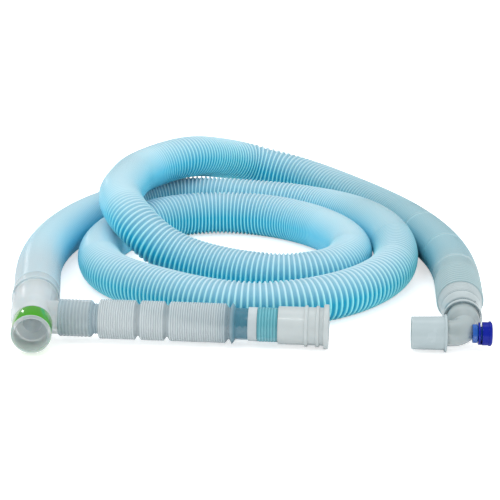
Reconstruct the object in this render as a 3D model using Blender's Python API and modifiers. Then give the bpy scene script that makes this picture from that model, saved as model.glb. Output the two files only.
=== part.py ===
"""A coaxial breathing circuit: a corrugated hose in flat loops between a tee and a patient elbow.

All sizes are in millimetres and all angles in degrees; the builders below turn them into metres.
+Z is up, the floor is z = 0, and the origin is the middle of the fittings' footprint.
"""

import math

import bmesh
import bpy
import numpy as np
from mathutils import Matrix, Vector

MM = 0.001
SEAT_GAP = 0.3
TURN_STEPS = 28
FINE_TURN_STEPS = 24

# Where the layout's zero lies in the part's own frame
LAYOUT_ORIGIN = (1.674, 171.84, 0.0)

# Corrugated hose
HOSE_RADIUS = 16.0
HOSE_POINTS = 80
HOSE_HEIGHT_AT_ELBOW = 16.03
HOSE_LEAD = 3.0
HOSE_RING_RESOLUTION = 4

# The hose's route from the manifold to the elbow, chosen by hand on the floor and over its own loops
HOSE_ROUTE = [
    (-152.5, -85, 16.0), (-147.7, -30, 16.0), (-132, 15.5, 16.0), (-97, 61, 16.0), (-59, 80, 16.0),
    (-6, 74.5, 16.0), (49, 55, 16.0), (83, 18, 20.0), (105.5, -34, 20.0), (104, -78, 16.0),
    (76, -124, 16.0), (33, -150, 16.0), (-15, -152, 16.0), (-64, -126, 16.0), (-102, -89, 16.0),
    (-110, -42, 16.0), (-93, 4, 16.0), (-58, 34, 16.0), (-12, 41, 16.0), (35, 22, 16.0),
    (66, -17, 17.0), (73.5, -57, 17.0), (58, -86, 16.0), (20, -97, 16.0), (-27, -82, 17.0),
    (-63, -66, 26.0), (-86, -48, 41.0), (-97, -19, 48.0), (-94, 18, 48.0), (-86, 52, 46.0),
    (-55, 80, 48.8), (-30, 110, 40.4), (0, 139, 26.0), (36, 132, 18.0), (72, 95, 16.0),
    (105, 47, 16.0), (134, -14, 16.0), (147, -82, 16.0),
]

# Manifold: distances run along its barrel, from the branch side back to the hose
MANIFOLD_PLACE = (-146.6, -179.9)
MANIFOLD_YAW = 3.0
PORT_LENGTH = 30.0
PORT_LIP_RADIUS = 13.6
PORT_LIP_LENGTH = 1.4
RING_SEAT_RADIUS = 12.6
RING_SEAT_LENGTH = 17.0
SOCKET_MOUTH_RADIUS = 11.25
SOCKET_FLOOR_RADIUS = 11.0
SOCKET_DEPTH = 16.8
SOCKET_CONE_LENGTH = 3.2
MANIFOLD_WALL = 1.5
PASSAGE_RADIUS = 6.4
NIPPLE_RADIUS = 7.6
NIPPLE_END = 41.0
BARREL_RADIUS = 15.7
BARREL_START = 3.0
SHOULDER_START = -8.5
BARREL_END = 33.7
SPIGOT_RADIUS = 14.5
SPIGOT_END = 43.5
BRANCH_OFFSET = 2.3
BRANCH_ROOT_RADIUS = 11.3
BRANCH_ROOT_END = 17.7
BRANCH_RADIUS = 10.9
BRANCH_END = 38.6
BRANCH_BORE_RADIUS = 8.0
BRANCH_BORE_START = 9.5

# Green ring
RING_RADIUS = 13.5

# Cuff of the hose on the manifold
CUFF_LIP_RADIUS = 16.8
CUFF_RADIUS = 16.3
CUFF_LIP_LENGTH = 2.4
CUFF_END = 46.0

# Ends of the inner hose
INNER_HOSE_WALL = 1.2
INNER_HOSE_START = 31.0
INNER_HOSE_RADIUS = 7.6
INNER_HOSE_FREE_END = 27.0

# Expandable limb: distances run from the manifold's barrel axis out along the limb
LIMB_YAW = -4.1
LIMB_WALL = 0.9
LIMB_CUFF_RADIUS = 12.3
LIMB_CUFF_END = 39.9
LIMB_CUFF_RIB_PITCH = 3.9
LIMB_CUFF_RIB_HEIGHT = 0.35
LIMB_FIRST_NECK_RADIUS = 10.4
LIMB_RADIUS = 13.5
LIMB_SECTIONS = ((45.4, 69.8), (73.6, 89.4), (93.2, 131.0))
LIMB_FOLD_DEPTH = 2.7
LIMB_FOLD_FLAT_SHARE = 0.16
LIMB_TOOTH_PITCH = 2.6
LIMB_TOOTH_DEPTH = 0.5
LIMB_LAST_FOLD_LENGTH = 4.3
LIMB_RIDGE_RADIUS = 14.0
LIMB_RIDGE_WALL = 1.4
LIMB_RIDGE_FALL_LENGTH = 2.3
LIMB_SECOND_NECK_RADIUS = 10.7
LIMB_SECOND_NECK_LENGTH = 8.5
LIMB_COLLAR_RADIUS = 11.5
LIMB_COLLAR_LENGTH = 6.0

# Connector band between the limb and its end cuff
BAND_RADIUS = 11.7
BAND_LENGTH = 13.4
CONNECTOR_SPIGOT_LENGTH = 5.5
CONNECTOR_WALL = 1.4

# White end cuff of the limb
END_CUFF_RADIUS = 12.8
END_CUFF_LENGTH = 34.1
END_CUFF_MOUTH_RADIUS = 11.3
END_CUFF_BORE_RADIUS = 11.0
END_CUFF_BORE_DEPTH = 22.0
END_CUFF_STOP_LENGTH = 2.0
END_CUFF_FLANGE_RADIUS = 15.0
END_CUFF_FLANGE_LENGTH = 3.4
END_CUFF_RIB_HEIGHT = 1.1
END_CUFF_RIB_LENGTH = 2.2
END_CUFF_RIB_PLACES = (17.8, 25.5)

# Elbow: the sleeve's and the branch's distances run outwards from the bend's corner
ELBOW_PLACE = (143.6, -198.0)
ELBOW_YAW = -2.0
ELBOW_RADIUS = 8.8
ELBOW_BORE_RADIUS = 7.3
ELBOW_BEND_RADIUS = 9.5
ELBOW_BEND_STEPS = 8
ELBOW_LEG_END = 14.6
ELBOW_FLARE_START = 10.5
ELBOW_CONE_START = 12.6
ELBOW_CONE_RADIUS = 11.25
ELBOW_CONE_END = 35.0
ELBOW_CONE_END_RADIUS = 11.0
ELBOW_CONE_BORE_RADIUS = 9.6
ELBOW_CUT_LEAD = 1.0
ELBOW_RING_RESOLUTION = 12

# White patient sleeve
SLEEVE_FLANGE_RADIUS = 12.7
SLEEVE_FLANGE_START = 12.2
SLEEVE_FLANGE_LENGTH = 1.6
SLEEVE_ROOT_RADIUS = 11.25
SLEEVE_TIP_RADIUS = 11.0
SLEEVE_END = 35.8
SLEEVE_WALL = 1.3
SLEEVE_WEB_LENGTH = 4.6
SLEEVE_BORE_RADIUS = 7.6
SLEEVE_BORE_MOUTH_RADIUS = 7.8
SLEEVE_INNER_END = 35.0

# Flared cuff of the hose on the elbow
PATIENT_CUFF_START = 23.0
PATIENT_CUFF_END = 50.0
PATIENT_CUFF_LIP_RADIUS = 13.3
PATIENT_CUFF_LIP_END = 26.0
PATIENT_CUFF_WAIST_RADIUS = 12.5
PATIENT_CUFF_WAIST_PLACE = 32.0
PATIENT_CUFF_SHOULDER_RADIUS = 14.0
PATIENT_CUFF_SHOULDER_PLACE = 38.0
PATIENT_CUFF_END_RADIUS = 15.2
PATIENT_CUFF_END_WALL = 1.3

# Sampling port and its cap: distances run along the sleeve's axis, out of the elbow's corner
PORT_SPIGOT_RADIUS = 3.6
PORT_SPIGOT_START = 3.4
PORT_BASE_RADIUS = 6.3
PORT_BASE_START = 5.0
PORT_BASE_END = 8.4
PORT_NECK_RADIUS = 4.7
PORT_NECK_END = 15.0
PORT_BORE_RADIUS = 2.0
CAP_RING_RADIUS = 7.5
CAP_RING_LENGTH = 1.5
CAP_START = 11.4
CAP_END = 18.1
CAP_RADIUS = 7.9
CAP_RIM_RADIUS = 8.4
CAP_RIM_LENGTH = 1.6
CAP_STRAP_WIDTH = 5.0
CAP_STRAP_THICKNESS = 1.6
CAP_STRAP_INSET = 1.1


def clear_scene():
    for obj in list(bpy.data.objects):
        bpy.data.objects.remove(obj, do_unlink=True)


def new_collection(name):
    collection = bpy.data.collections.new(name)
    bpy.context.scene.collection.children.link(collection)
    return collection


def new_material(name, colour, roughness, alpha=1.0):
    material = bpy.data.materials.new(name)
    material.use_nodes = True
    shader = material.node_tree.nodes["Principled BSDF"]
    shader.inputs["Base Color"].default_value = (*colour, 1.0)
    shader.inputs["Roughness"].default_value = roughness
    shader.inputs["Metallic"].default_value = 0.0
    shader.inputs["Alpha"].default_value = alpha
    material.diffuse_color = (*colour, alpha)
    return material


def direction(yaw, rise=0.0):
    """The level direction yaw degrees from +X towards +Y, tipped up by rise degrees."""
    level = math.cos(math.radians(rise))
    return Vector((
        level * math.cos(math.radians(yaw)),
        level * math.sin(math.radians(yaw)),
        math.sin(math.radians(rise)),
    ))


def axis_empty(name, origin, along, side, collection):
    """An empty whose +Z runs along a piece's axis, and whose +X points as near to side as it can."""
    z_axis = along.normalized()
    x_axis = (side - z_axis * side.dot(z_axis)).normalized()
    y_axis = z_axis.cross(x_axis)
    turn = Matrix((x_axis, y_axis, z_axis)).transposed().to_4x4()
    empty = bpy.data.objects.new(name, None)
    collection.objects.link(empty)
    empty.matrix_world = Matrix.Translation(origin * MM) @ turn
    empty.empty_display_size = 10 * MM
    return empty


def link_mesh(name, mesh, parent, collection, material=None):
    obj = bpy.data.objects.new(name, mesh)
    obj.parent = parent
    collection.objects.link(obj)
    if material:
        obj.data.materials.append(material)
    return obj


def turned(name, outer, inner, parent, collection, material=None, steps=TURN_STEPS):
    """A turned piece about its parent's +Z.

    outer and inner list (distance along the axis, radius) in rising order, and the profile runs down
    the outer list and up the inner one. A profile that begins and ends on the axis makes a solid end.
    """
    profile = list(reversed(outer)) + list(inner)
    points = [(radius * MM, 0.0, distance * MM) for distance, radius in profile]
    edges = [(i, i + 1) for i in range(len(points) - 1)]
    meets_axis = profile[0][1] == 0.0 and profile[-1][1] == 0.0
    if not meets_axis:
        edges.append((len(points) - 1, 0))
    mesh = bpy.data.meshes.new(name)
    mesh.from_pydata(points, edges, [])
    obj = link_mesh(name, mesh, parent, collection, material)
    screw = obj.modifiers.new("Turn", "SCREW")
    screw.axis = "Z"
    screw.angle = 2 * math.pi
    screw.steps = steps
    screw.render_steps = steps
    screw.use_merge_vertices = True
    screw.merge_threshold = 1e-6
    screw.use_smooth_shade = True
    return obj


def swept(name, points, radii, resolution, parent, collection):
    """A round tube along points, whose radius changes from point to point."""
    curve = bpy.data.curves.new(name, "CURVE")
    curve.dimensions = "3D"
    curve.bevel_depth = MM
    curve.bevel_resolution = resolution
    curve.use_fill_caps = True
    curve.render_resolution_u = 0
    spline = curve.splines.new("POLY")
    spline.points.add(len(points) - 1)
    for slot, point, radius in zip(spline.points, points, radii):
        slot.co = (*(Vector(point) * MM), 1.0)
        slot.radius = radius
    obj = bpy.data.objects.new(name, curve)
    obj.parent = parent
    collection.objects.link(obj)
    return obj


def as_mesh(curve_object, collection, material=None):
    """The curve object made a closed mesh, with its caps welded on."""
    bpy.context.view_layer.update()
    evaluated = curve_object.evaluated_get(bpy.context.evaluated_depsgraph_get())
    mesh = bpy.data.meshes.new_from_object(evaluated)
    welded = bmesh.new()
    welded.from_mesh(mesh)
    bmesh.ops.remove_doubles(welded, verts=welded.verts, dist=1e-6)
    bmesh.ops.recalc_face_normals(welded, faces=welded.faces)
    welded.to_mesh(mesh)
    welded.free()
    mesh.shade_smooth()
    name = curve_object.name
    place = curve_object.matrix_world.copy()
    bpy.data.objects.remove(curve_object, do_unlink=True)
    obj = link_mesh(name, mesh, None, collection, material)
    obj.matrix_world = place
    return obj


def combine(obj, tool, operation):
    """A Boolean of obj with a tool, which stays hidden."""
    boolean = obj.modifiers.new(tool.name, "BOOLEAN")
    boolean.operation = operation
    boolean.solver = "EXACT"
    boolean.object = tool
    tool.hide_render = True
    tool.display_type = "WIRE"


def blended(start, end, steps):
    """Points from start to end, (distance, radius) each, with a smooth S-shaped change of radius."""
    return [
        (start[0] + (end[0] - start[0]) * t, start[1] + (end[1] - start[1]) * (3 * t * t - 2 * t ** 3))
        for t in np.linspace(0.0, 1.0, steps + 1)
    ]


def make_manifold_body(place, branch, parts, tools, material):
    """The tee: socket, barrel and spigot round a nipple for the inner hose, with a side branch."""
    socket_floor = SOCKET_DEPTH - PORT_LENGTH
    passage_start = socket_floor + SOCKET_CONE_LENGTH
    seat_start = PORT_LIP_LENGTH - PORT_LENGTH
    seat_end = seat_start + RING_SEAT_LENGTH
    front_bore = RING_SEAT_RADIUS - MANIFOLD_WALL
    back_bore = SPIGOT_RADIUS - MANIFOLD_WALL
    outer = [
        (-PORT_LENGTH, SOCKET_MOUTH_RADIUS),
        (-PORT_LENGTH, PORT_LIP_RADIUS),
        (seat_start, PORT_LIP_RADIUS),
        (seat_start, RING_SEAT_RADIUS),
        (seat_end, RING_SEAT_RADIUS),
        (seat_end, PORT_LIP_RADIUS),
    ]
    outer += blended((SHOULDER_START, PORT_LIP_RADIUS), (BARREL_START, BARREL_RADIUS), 5)
    outer += [
        (BARREL_END, BARREL_RADIUS),
        (BARREL_END, SPIGOT_RADIUS),
        (SPIGOT_END, SPIGOT_RADIUS),
    ]
    inner = [
        (socket_floor, SOCKET_FLOOR_RADIUS),
        (passage_start, PASSAGE_RADIUS),
        (NIPPLE_END, PASSAGE_RADIUS),
        (NIPPLE_END, NIPPLE_RADIUS),
        (passage_start + MANIFOLD_WALL, NIPPLE_RADIUS),
        (socket_floor + MANIFOLD_WALL, front_bore),
        (SHOULDER_START, front_bore),
        (BARREL_START, back_bore),
        (SPIGOT_END, back_bore),
    ]
    body = turned("manifold_body", outer, inner, place, parts, material)
    tube = turned(
        "branch_tube",
        [(0.0, 0.0), (0.0, BRANCH_ROOT_RADIUS), (BRANCH_ROOT_END, BRANCH_ROOT_RADIUS),
         (BRANCH_ROOT_END, BRANCH_RADIUS), (BRANCH_END, BRANCH_RADIUS), (BRANCH_END, 0.0)],
        [], branch, tools,
    )
    # Inside the barrel the branch ends in the middle of the barrel's wall
    half_wall = MANIFOLD_WALL / 2
    barrel_core = turned(
        "barrel_core",
        [(seat_end - half_wall, 0.0), (seat_end - half_wall, front_bore + half_wall),
         (SHOULDER_START, front_bore + half_wall), (BARREL_START, back_bore + half_wall),
         (BARREL_END, back_bore + half_wall), (BARREL_END, 0.0)],
        [], place, tools,
    )
    bore = turned(
        "branch_bore",
        [(BRANCH_BORE_START, 0.0), (BRANCH_BORE_START, BRANCH_BORE_RADIUS),
         (BRANCH_END + MANIFOLD_WALL, BRANCH_BORE_RADIUS), (BRANCH_END + MANIFOLD_WALL, 0.0)],
        [], branch, tools,
    )
    combine(tube, barrel_core, "DIFFERENCE")
    combine(body, tube, "UNION")
    combine(body, bore, "DIFFERENCE")


def make_port_ring(place, parts, material):
    """The coloured band that snaps into the groove behind the socket's lip."""
    start = PORT_LIP_LENGTH - PORT_LENGTH + SEAT_GAP
    end = start + RING_SEAT_LENGTH - 2 * SEAT_GAP
    bore = RING_SEAT_RADIUS + SEAT_GAP
    turned("port_ring", [(start, RING_RADIUS), (end, RING_RADIUS)], [(start, bore), (end, bore)],
           place, parts, material)


def make_manifold_cuff(place, parts, material):
    """The hose's clear cuff over the barrel's spigot, with a thicker lip."""
    start = BARREL_END + SEAT_GAP
    bore = SPIGOT_RADIUS + SEAT_GAP
    outer = [
        (start, CUFF_LIP_RADIUS),
        (start + CUFF_LIP_LENGTH, CUFF_LIP_RADIUS),
        (start + CUFF_LIP_LENGTH, CUFF_RADIUS),
        (CUFF_END, CUFF_RADIUS),
    ]
    turned("manifold_cuff", outer, [(start, bore), (CUFF_END, bore)], place, parts, material)


def make_inner_hose_ends(place, elbow_branch, parts, material):
    """The coaxial hose's two ends: one over the manifold's nipple, one free inside the elbow's cone."""
    bore = NIPPLE_RADIUS + SEAT_GAP
    radius = bore + INNER_HOSE_WALL
    turned("inner_hose_manifold_end", [(INNER_HOSE_START, radius), (CUFF_END, radius)],
           [(INNER_HOSE_START, bore), (CUFF_END, bore)], place, parts, material)
    bore = INNER_HOSE_RADIUS - INNER_HOSE_WALL
    turned("inner_hose_patient_end",
           [(INNER_HOSE_FREE_END, INNER_HOSE_RADIUS), (PATIENT_CUFF_END, INNER_HOSE_RADIUS)],
           [(INNER_HOSE_FREE_END, bore), (PATIENT_CUFF_END, bore)], elbow_branch, parts, material)


def fold_between(first_end, second_start, top, bottom):
    """The outline of a deep fold between two stretches of the limb."""
    middle = (first_end + second_start) / 2
    flat = (second_start - first_end) * LIMB_FOLD_FLAT_SHARE / 2
    return [(first_end, top), (middle - flat, bottom), (middle + flat, bottom), (second_start, top)]


def limb_collar_start():
    last_section_end = LIMB_SECTIONS[-1][1]
    return last_section_end + LIMB_LAST_FOLD_LENGTH + LIMB_RIDGE_FALL_LENGTH + LIMB_SECOND_NECK_LENGTH


def limb_end():
    return limb_collar_start() + LIMB_COLLAR_LENGTH


def make_expandable_limb(branch, parts, material):
    """The limb: a soft ribbed cuff, a neck, three finely toothed stretches with deep folds, and a collar."""
    start = BRANCH_ROOT_END + SEAT_GAP
    cuff_bore = BRANCH_RADIUS + SEAT_GAP
    outer = []
    rib = start
    while rib + LIMB_CUFF_RIB_PITCH < LIMB_CUFF_END:
        outer += [
            (rib, LIMB_CUFF_RADIUS),
            (rib + LIMB_CUFF_RIB_PITCH / 2, LIMB_CUFF_RADIUS + LIMB_CUFF_RIB_HEIGHT),
        ]
        rib += LIMB_CUFF_RIB_PITCH
    first_start = LIMB_SECTIONS[0][0]
    last_end = LIMB_SECTIONS[-1][1]
    taper = LIMB_CUFF_RADIUS - LIMB_FIRST_NECK_RADIUS
    outer += [
        (rib, LIMB_CUFF_RADIUS),
        (LIMB_CUFF_END, LIMB_CUFF_RADIUS),
        (LIMB_CUFF_END + taper, LIMB_FIRST_NECK_RADIUS),
        (first_start, LIMB_FIRST_NECK_RADIUS),
    ]
    next_starts = [section_start for section_start, _ in LIMB_SECTIONS[1:]] + [None]
    for (section_start, section_end), next_start in zip(LIMB_SECTIONS, next_starts):
        teeth = round((section_end - section_start) / LIMB_TOOTH_PITCH)
        pitch = (section_end - section_start) / teeth
        for tooth in range(teeth):
            crest = section_start + tooth * pitch
            outer += [(crest, LIMB_RADIUS), (crest + pitch / 2, LIMB_RADIUS - LIMB_TOOTH_DEPTH)]
        outer.append((section_end, LIMB_RADIUS))
        if next_start is not None:
            outer += fold_between(section_end, next_start, LIMB_RADIUS, LIMB_RADIUS - LIMB_FOLD_DEPTH)[1:3]
    fold_place = last_end + LIMB_LAST_FOLD_LENGTH / 2
    ridge_place = last_end + LIMB_LAST_FOLD_LENGTH
    second_neck_start = ridge_place + LIMB_RIDGE_FALL_LENGTH
    collar_start = limb_collar_start()
    outer += [
        (fold_place, LIMB_RADIUS - LIMB_FOLD_DEPTH),
        (ridge_place, LIMB_RIDGE_RADIUS),
        (second_neck_start, LIMB_SECOND_NECK_RADIUS),
        (collar_start, LIMB_SECOND_NECK_RADIUS),
        (collar_start, LIMB_COLLAR_RADIUS),
        (limb_end(), LIMB_COLLAR_RADIUS),
    ]
    section_bore = LIMB_RADIUS - LIMB_TOOTH_DEPTH - LIMB_WALL
    fold_bore = LIMB_RADIUS - LIMB_FOLD_DEPTH - LIMB_WALL
    neck_bore = LIMB_FIRST_NECK_RADIUS - LIMB_WALL
    second_neck_bore = LIMB_SECOND_NECK_RADIUS - LIMB_WALL
    collar_bore = LIMB_COLLAR_RADIUS - LIMB_WALL
    inner = [
        (start, cuff_bore),
        (BRANCH_END + 2 * SEAT_GAP, cuff_bore),
        (LIMB_CUFF_END + taper, neck_bore),
        (first_start + LIMB_WALL, neck_bore),
        (first_start + LIMB_WALL, section_bore),
    ]
    for (_, section_end), (next_start, _) in zip(LIMB_SECTIONS, LIMB_SECTIONS[1:]):
        inner += fold_between(section_end - LIMB_WALL, next_start + LIMB_WALL, section_bore, fold_bore)
    inner += [
        (last_end - LIMB_WALL, section_bore),
        (fold_place, fold_bore),
        (ridge_place, LIMB_RIDGE_RADIUS - LIMB_RIDGE_WALL),
        (second_neck_start - LIMB_WALL, second_neck_bore),
        (collar_start, second_neck_bore),
        (collar_start, collar_bore),
        (limb_end(), collar_bore),
    ]
    turned("expandable_limb", outer, inner, branch, parts, material, FINE_TURN_STEPS)


def connector_spigot_radius():
    return LIMB_COLLAR_RADIUS - LIMB_WALL - SEAT_GAP


def band_start():
    return limb_end() + SEAT_GAP


def end_cuff_start():
    return band_start() + BAND_LENGTH + SEAT_GAP


def make_limb_connector(branch, parts, material):
    """The coloured band between the limb's collar and its end cuff, with a spigot into each."""
    spigot = connector_spigot_radius()
    bore = spigot - CONNECTOR_WALL
    start = band_start()
    end = start + BAND_LENGTH
    outer = [
        (start - CONNECTOR_SPIGOT_LENGTH, spigot),
        (start, spigot),
        (start, BAND_RADIUS),
        (end, BAND_RADIUS),
        (end, spigot),
        (end + CONNECTOR_SPIGOT_LENGTH, spigot),
    ]
    inner = [(start - CONNECTOR_SPIGOT_LENGTH, bore), (end + CONNECTOR_SPIGOT_LENGTH, bore)]
    turned("limb_connector", outer, inner, branch, parts, material)


def make_limb_end_cuff(branch, parts, material):
    """The white end cuff: two ribs and a flange outside, a tapered bore with a stop inside."""
    start = end_cuff_start()
    end = start + END_CUFF_LENGTH
    flange = end - END_CUFF_FLANGE_LENGTH
    seat_bore = connector_spigot_radius() + SEAT_GAP
    stop_bore = connector_spigot_radius() - CONNECTOR_WALL
    stop = start + CONNECTOR_SPIGOT_LENGTH
    outer = [(start, END_CUFF_RADIUS)]
    for place in END_CUFF_RIB_PLACES:
        rib = start + place
        outer += [
            (rib, END_CUFF_RADIUS),
            (rib, END_CUFF_RADIUS + END_CUFF_RIB_HEIGHT),
            (rib + END_CUFF_RIB_LENGTH, END_CUFF_RADIUS + END_CUFF_RIB_HEIGHT),
            (rib + END_CUFF_RIB_LENGTH, END_CUFF_RADIUS),
        ]
    outer += [
        (flange, END_CUFF_RADIUS),
        (flange, END_CUFF_FLANGE_RADIUS),
        (end, END_CUFF_FLANGE_RADIUS),
    ]
    inner = [
        (start, seat_bore),
        (stop, seat_bore),
        (stop, stop_bore),
        (stop + END_CUFF_STOP_LENGTH, stop_bore),
        (end - END_CUFF_BORE_DEPTH, END_CUFF_BORE_RADIUS),
        (end, END_CUFF_MOUTH_RADIUS),
    ]
    turned("limb_end_cuff", outer, inner, branch, parts, material)


def elbow_path(leg_end, cone):
    """Points in the elbow's plane: in along the sleeve, round the bend and out to the cone's distances."""
    points = [(-leg_end, 0.0, 0.0)]
    for turn in np.radians(np.linspace(-90.0, 0.0, ELBOW_BEND_STEPS + 1)):
        points.append((
            ELBOW_BEND_RADIUS * (math.cos(turn) - 1.0),
            ELBOW_BEND_RADIUS * (math.sin(turn) + 1.0),
            0.0,
        ))
    return points + [(0.0, distance, 0.0) for distance in cone]


def elbow_sweep(name, elbow, tools, extra=0.0):
    """The elbow's outer form, grown by extra all round."""
    points = elbow_path(ELBOW_LEG_END, (ELBOW_FLARE_START, ELBOW_CONE_START, ELBOW_CONE_END))
    radii = [ELBOW_RADIUS] * (len(points) - 2) + [ELBOW_CONE_RADIUS, ELBOW_CONE_END_RADIUS]
    return swept(name, points, [radius + extra for radius in radii], ELBOW_RING_RESOLUTION, elbow, tools)


def make_elbow_body(elbow, port, parts, tools, material):
    """The clear elbow: a bent tube that flares to a taper, with a hole for the sampling port."""
    body = as_mesh(elbow_sweep("elbow_body", elbow, tools), parts, material)
    bore_flare_end = ELBOW_CONE_START + ELBOW_CONE_BORE_RADIUS - ELBOW_BORE_RADIUS
    points = elbow_path(
        ELBOW_LEG_END + ELBOW_CUT_LEAD, (ELBOW_CONE_START, bore_flare_end, ELBOW_CONE_END + ELBOW_CUT_LEAD))
    radii = [ELBOW_BORE_RADIUS] * (len(points) - 2) + [ELBOW_CONE_BORE_RADIUS] * 2
    bore = as_mesh(swept("elbow_bore", points, radii, ELBOW_RING_RESOLUTION, elbow, tools), tools)
    hole_radius = PORT_SPIGOT_RADIUS + SEAT_GAP
    hole = turned(
        "port_hole",
        [(0.0, 0.0), (0.0, hole_radius), (PORT_BASE_END, hole_radius), (PORT_BASE_END, 0.0)],
        [], port, tools,
    )
    combine(body, bore, "DIFFERENCE")
    combine(body, hole, "DIFFERENCE")


def make_patient_sleeve(sleeve, parts, material):
    """The double-walled white sleeve, whose web seats on the elbow's leg."""
    flange_end = SLEEVE_FLANGE_START + SLEEVE_FLANGE_LENGTH
    web_end = SLEEVE_FLANGE_START + SLEEVE_WEB_LENGTH
    seat_bore = ELBOW_RADIUS + SEAT_GAP
    seat_end = ELBOW_LEG_END + SEAT_GAP
    inner_radius = SLEEVE_BORE_RADIUS + SLEEVE_WALL
    outer_bore = SLEEVE_TIP_RADIUS - SLEEVE_WALL
    outer = [
        (SLEEVE_FLANGE_START, SLEEVE_FLANGE_RADIUS),
        (flange_end, SLEEVE_FLANGE_RADIUS),
        (flange_end, SLEEVE_ROOT_RADIUS),
        (SLEEVE_END, SLEEVE_TIP_RADIUS),
    ]
    inner = [
        (SLEEVE_FLANGE_START, seat_bore),
        (seat_end, seat_bore),
        (seat_end, SLEEVE_BORE_RADIUS),
        (web_end, SLEEVE_BORE_RADIUS),
        (SLEEVE_INNER_END, SLEEVE_BORE_MOUTH_RADIUS),
        (SLEEVE_INNER_END, inner_radius),
        (web_end, inner_radius),
        (web_end, outer_bore),
        (SLEEVE_END, outer_bore),
    ]
    turned("patient_sleeve", outer, inner, sleeve, parts, material)


def make_elbow_cuff(branch, parts, material):
    """The hose's clear cuff over the elbow's cone, flaring out to the hose."""
    bore = ELBOW_CONE_RADIUS + SEAT_GAP
    end_bore = PATIENT_CUFF_END_RADIUS - PATIENT_CUFF_END_WALL
    outer = [
        (PATIENT_CUFF_START, PATIENT_CUFF_LIP_RADIUS),
        (PATIENT_CUFF_LIP_END, PATIENT_CUFF_LIP_RADIUS),
    ]
    lip_fall = PATIENT_CUFF_LIP_RADIUS - PATIENT_CUFF_WAIST_RADIUS
    outer.append((PATIENT_CUFF_LIP_END + lip_fall, PATIENT_CUFF_WAIST_RADIUS))
    outer += blended(
        (PATIENT_CUFF_WAIST_PLACE, PATIENT_CUFF_WAIST_RADIUS),
        (PATIENT_CUFF_SHOULDER_PLACE, PATIENT_CUFF_SHOULDER_RADIUS), 4)
    outer.append((PATIENT_CUFF_END, PATIENT_CUFF_END_RADIUS))
    inner = [
        (PATIENT_CUFF_START, bore),
        (ELBOW_CONE_END + SEAT_GAP, bore),
        (PATIENT_CUFF_SHOULDER_PLACE, PATIENT_CUFF_SHOULDER_RADIUS - PATIENT_CUFF_END_WALL),
        (PATIENT_CUFF_END, end_bore),
    ]
    turned("elbow_cuff", outer, inner, branch, parts, material)


def make_sampling_port(elbow, port, parts, tools, material):
    """The luer port: a spigot in the elbow's wall, a base disc saddled on the bend and a neck."""
    outer = [
        (PORT_SPIGOT_START, PORT_SPIGOT_RADIUS),
        (PORT_BASE_START, PORT_SPIGOT_RADIUS),
        (PORT_BASE_START, PORT_BASE_RADIUS),
        (PORT_BASE_END, PORT_BASE_RADIUS),
        (PORT_BASE_END, PORT_NECK_RADIUS),
        (PORT_NECK_END, PORT_NECK_RADIUS),
    ]
    inner = [(PORT_SPIGOT_START, PORT_BORE_RADIUS), (PORT_NECK_END, PORT_BORE_RADIUS)]
    body = turned("sampling_port", outer, inner, port, parts, material)
    saddle = as_mesh(elbow_sweep("saddle", elbow, tools, SEAT_GAP), tools)
    spigot_room = PORT_SPIGOT_RADIUS + SEAT_GAP / 2
    room = turned(
        "spigot_room",
        [(0.0, 0.0), (0.0, spigot_room), (PORT_NECK_END, spigot_room), (PORT_NECK_END, 0.0)],
        [], port, tools,
    )
    combine(saddle, room, "DIFFERENCE")
    combine(body, saddle, "DIFFERENCE")


def make_sampling_cap(port, parts, tools, material):
    """The cap, its strap and its retaining ring, moulded as one."""
    bore = PORT_NECK_RADIUS + SEAT_GAP
    ring_start = PORT_BASE_END + SEAT_GAP
    ring_end = ring_start + CAP_RING_LENGTH
    rim_end = CAP_END - CAP_RIM_LENGTH / 2
    rim_start = rim_end - CAP_RIM_LENGTH
    outer = [
        (CAP_START, CAP_RADIUS),
        (rim_start, CAP_RADIUS),
        (rim_start, CAP_RIM_RADIUS),
        (rim_end, CAP_RIM_RADIUS),
        (rim_end, CAP_RADIUS),
        (CAP_END, CAP_RADIUS - CAP_RIM_LENGTH / 2),
        (CAP_END, 0.0),
    ]
    floor = PORT_NECK_END + SEAT_GAP
    inner = [(CAP_START, bore), (floor, bore), (floor, 0.0)]
    cap = turned("sampling_cap", outer, inner, port, parts, material)
    ring = turned("cap_ring", [(ring_start, CAP_RING_RADIUS), (ring_end, CAP_RING_RADIUS)],
                  [(ring_start, bore), (ring_end, bore)], port, tools)
    strap_start = (ring_start + ring_end) / 2
    strap_end = (CAP_START + rim_start) / 2
    strap_mesh = bpy.data.meshes.new("cap_strap")
    block = bmesh.new()
    bmesh.ops.create_cube(block, size=1.0)
    size = (CAP_STRAP_THICKNESS, CAP_STRAP_WIDTH, strap_end - strap_start)
    centre = (CAP_STRAP_INSET - CAP_RING_RADIUS, 0.0, (strap_start + strap_end) / 2)
    bmesh.ops.transform(
        block,
        matrix=Matrix.Translation(Vector(centre) * MM) @ Matrix.Diagonal((*(Vector(size) * MM), 1.0)),
        verts=block.verts,
    )
    block.to_mesh(strap_mesh)
    block.free()
    strap = link_mesh("cap_strap", strap_mesh, port, tools)
    combine(cap, ring, "UNION")
    combine(cap, strap, "UNION")


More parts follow.
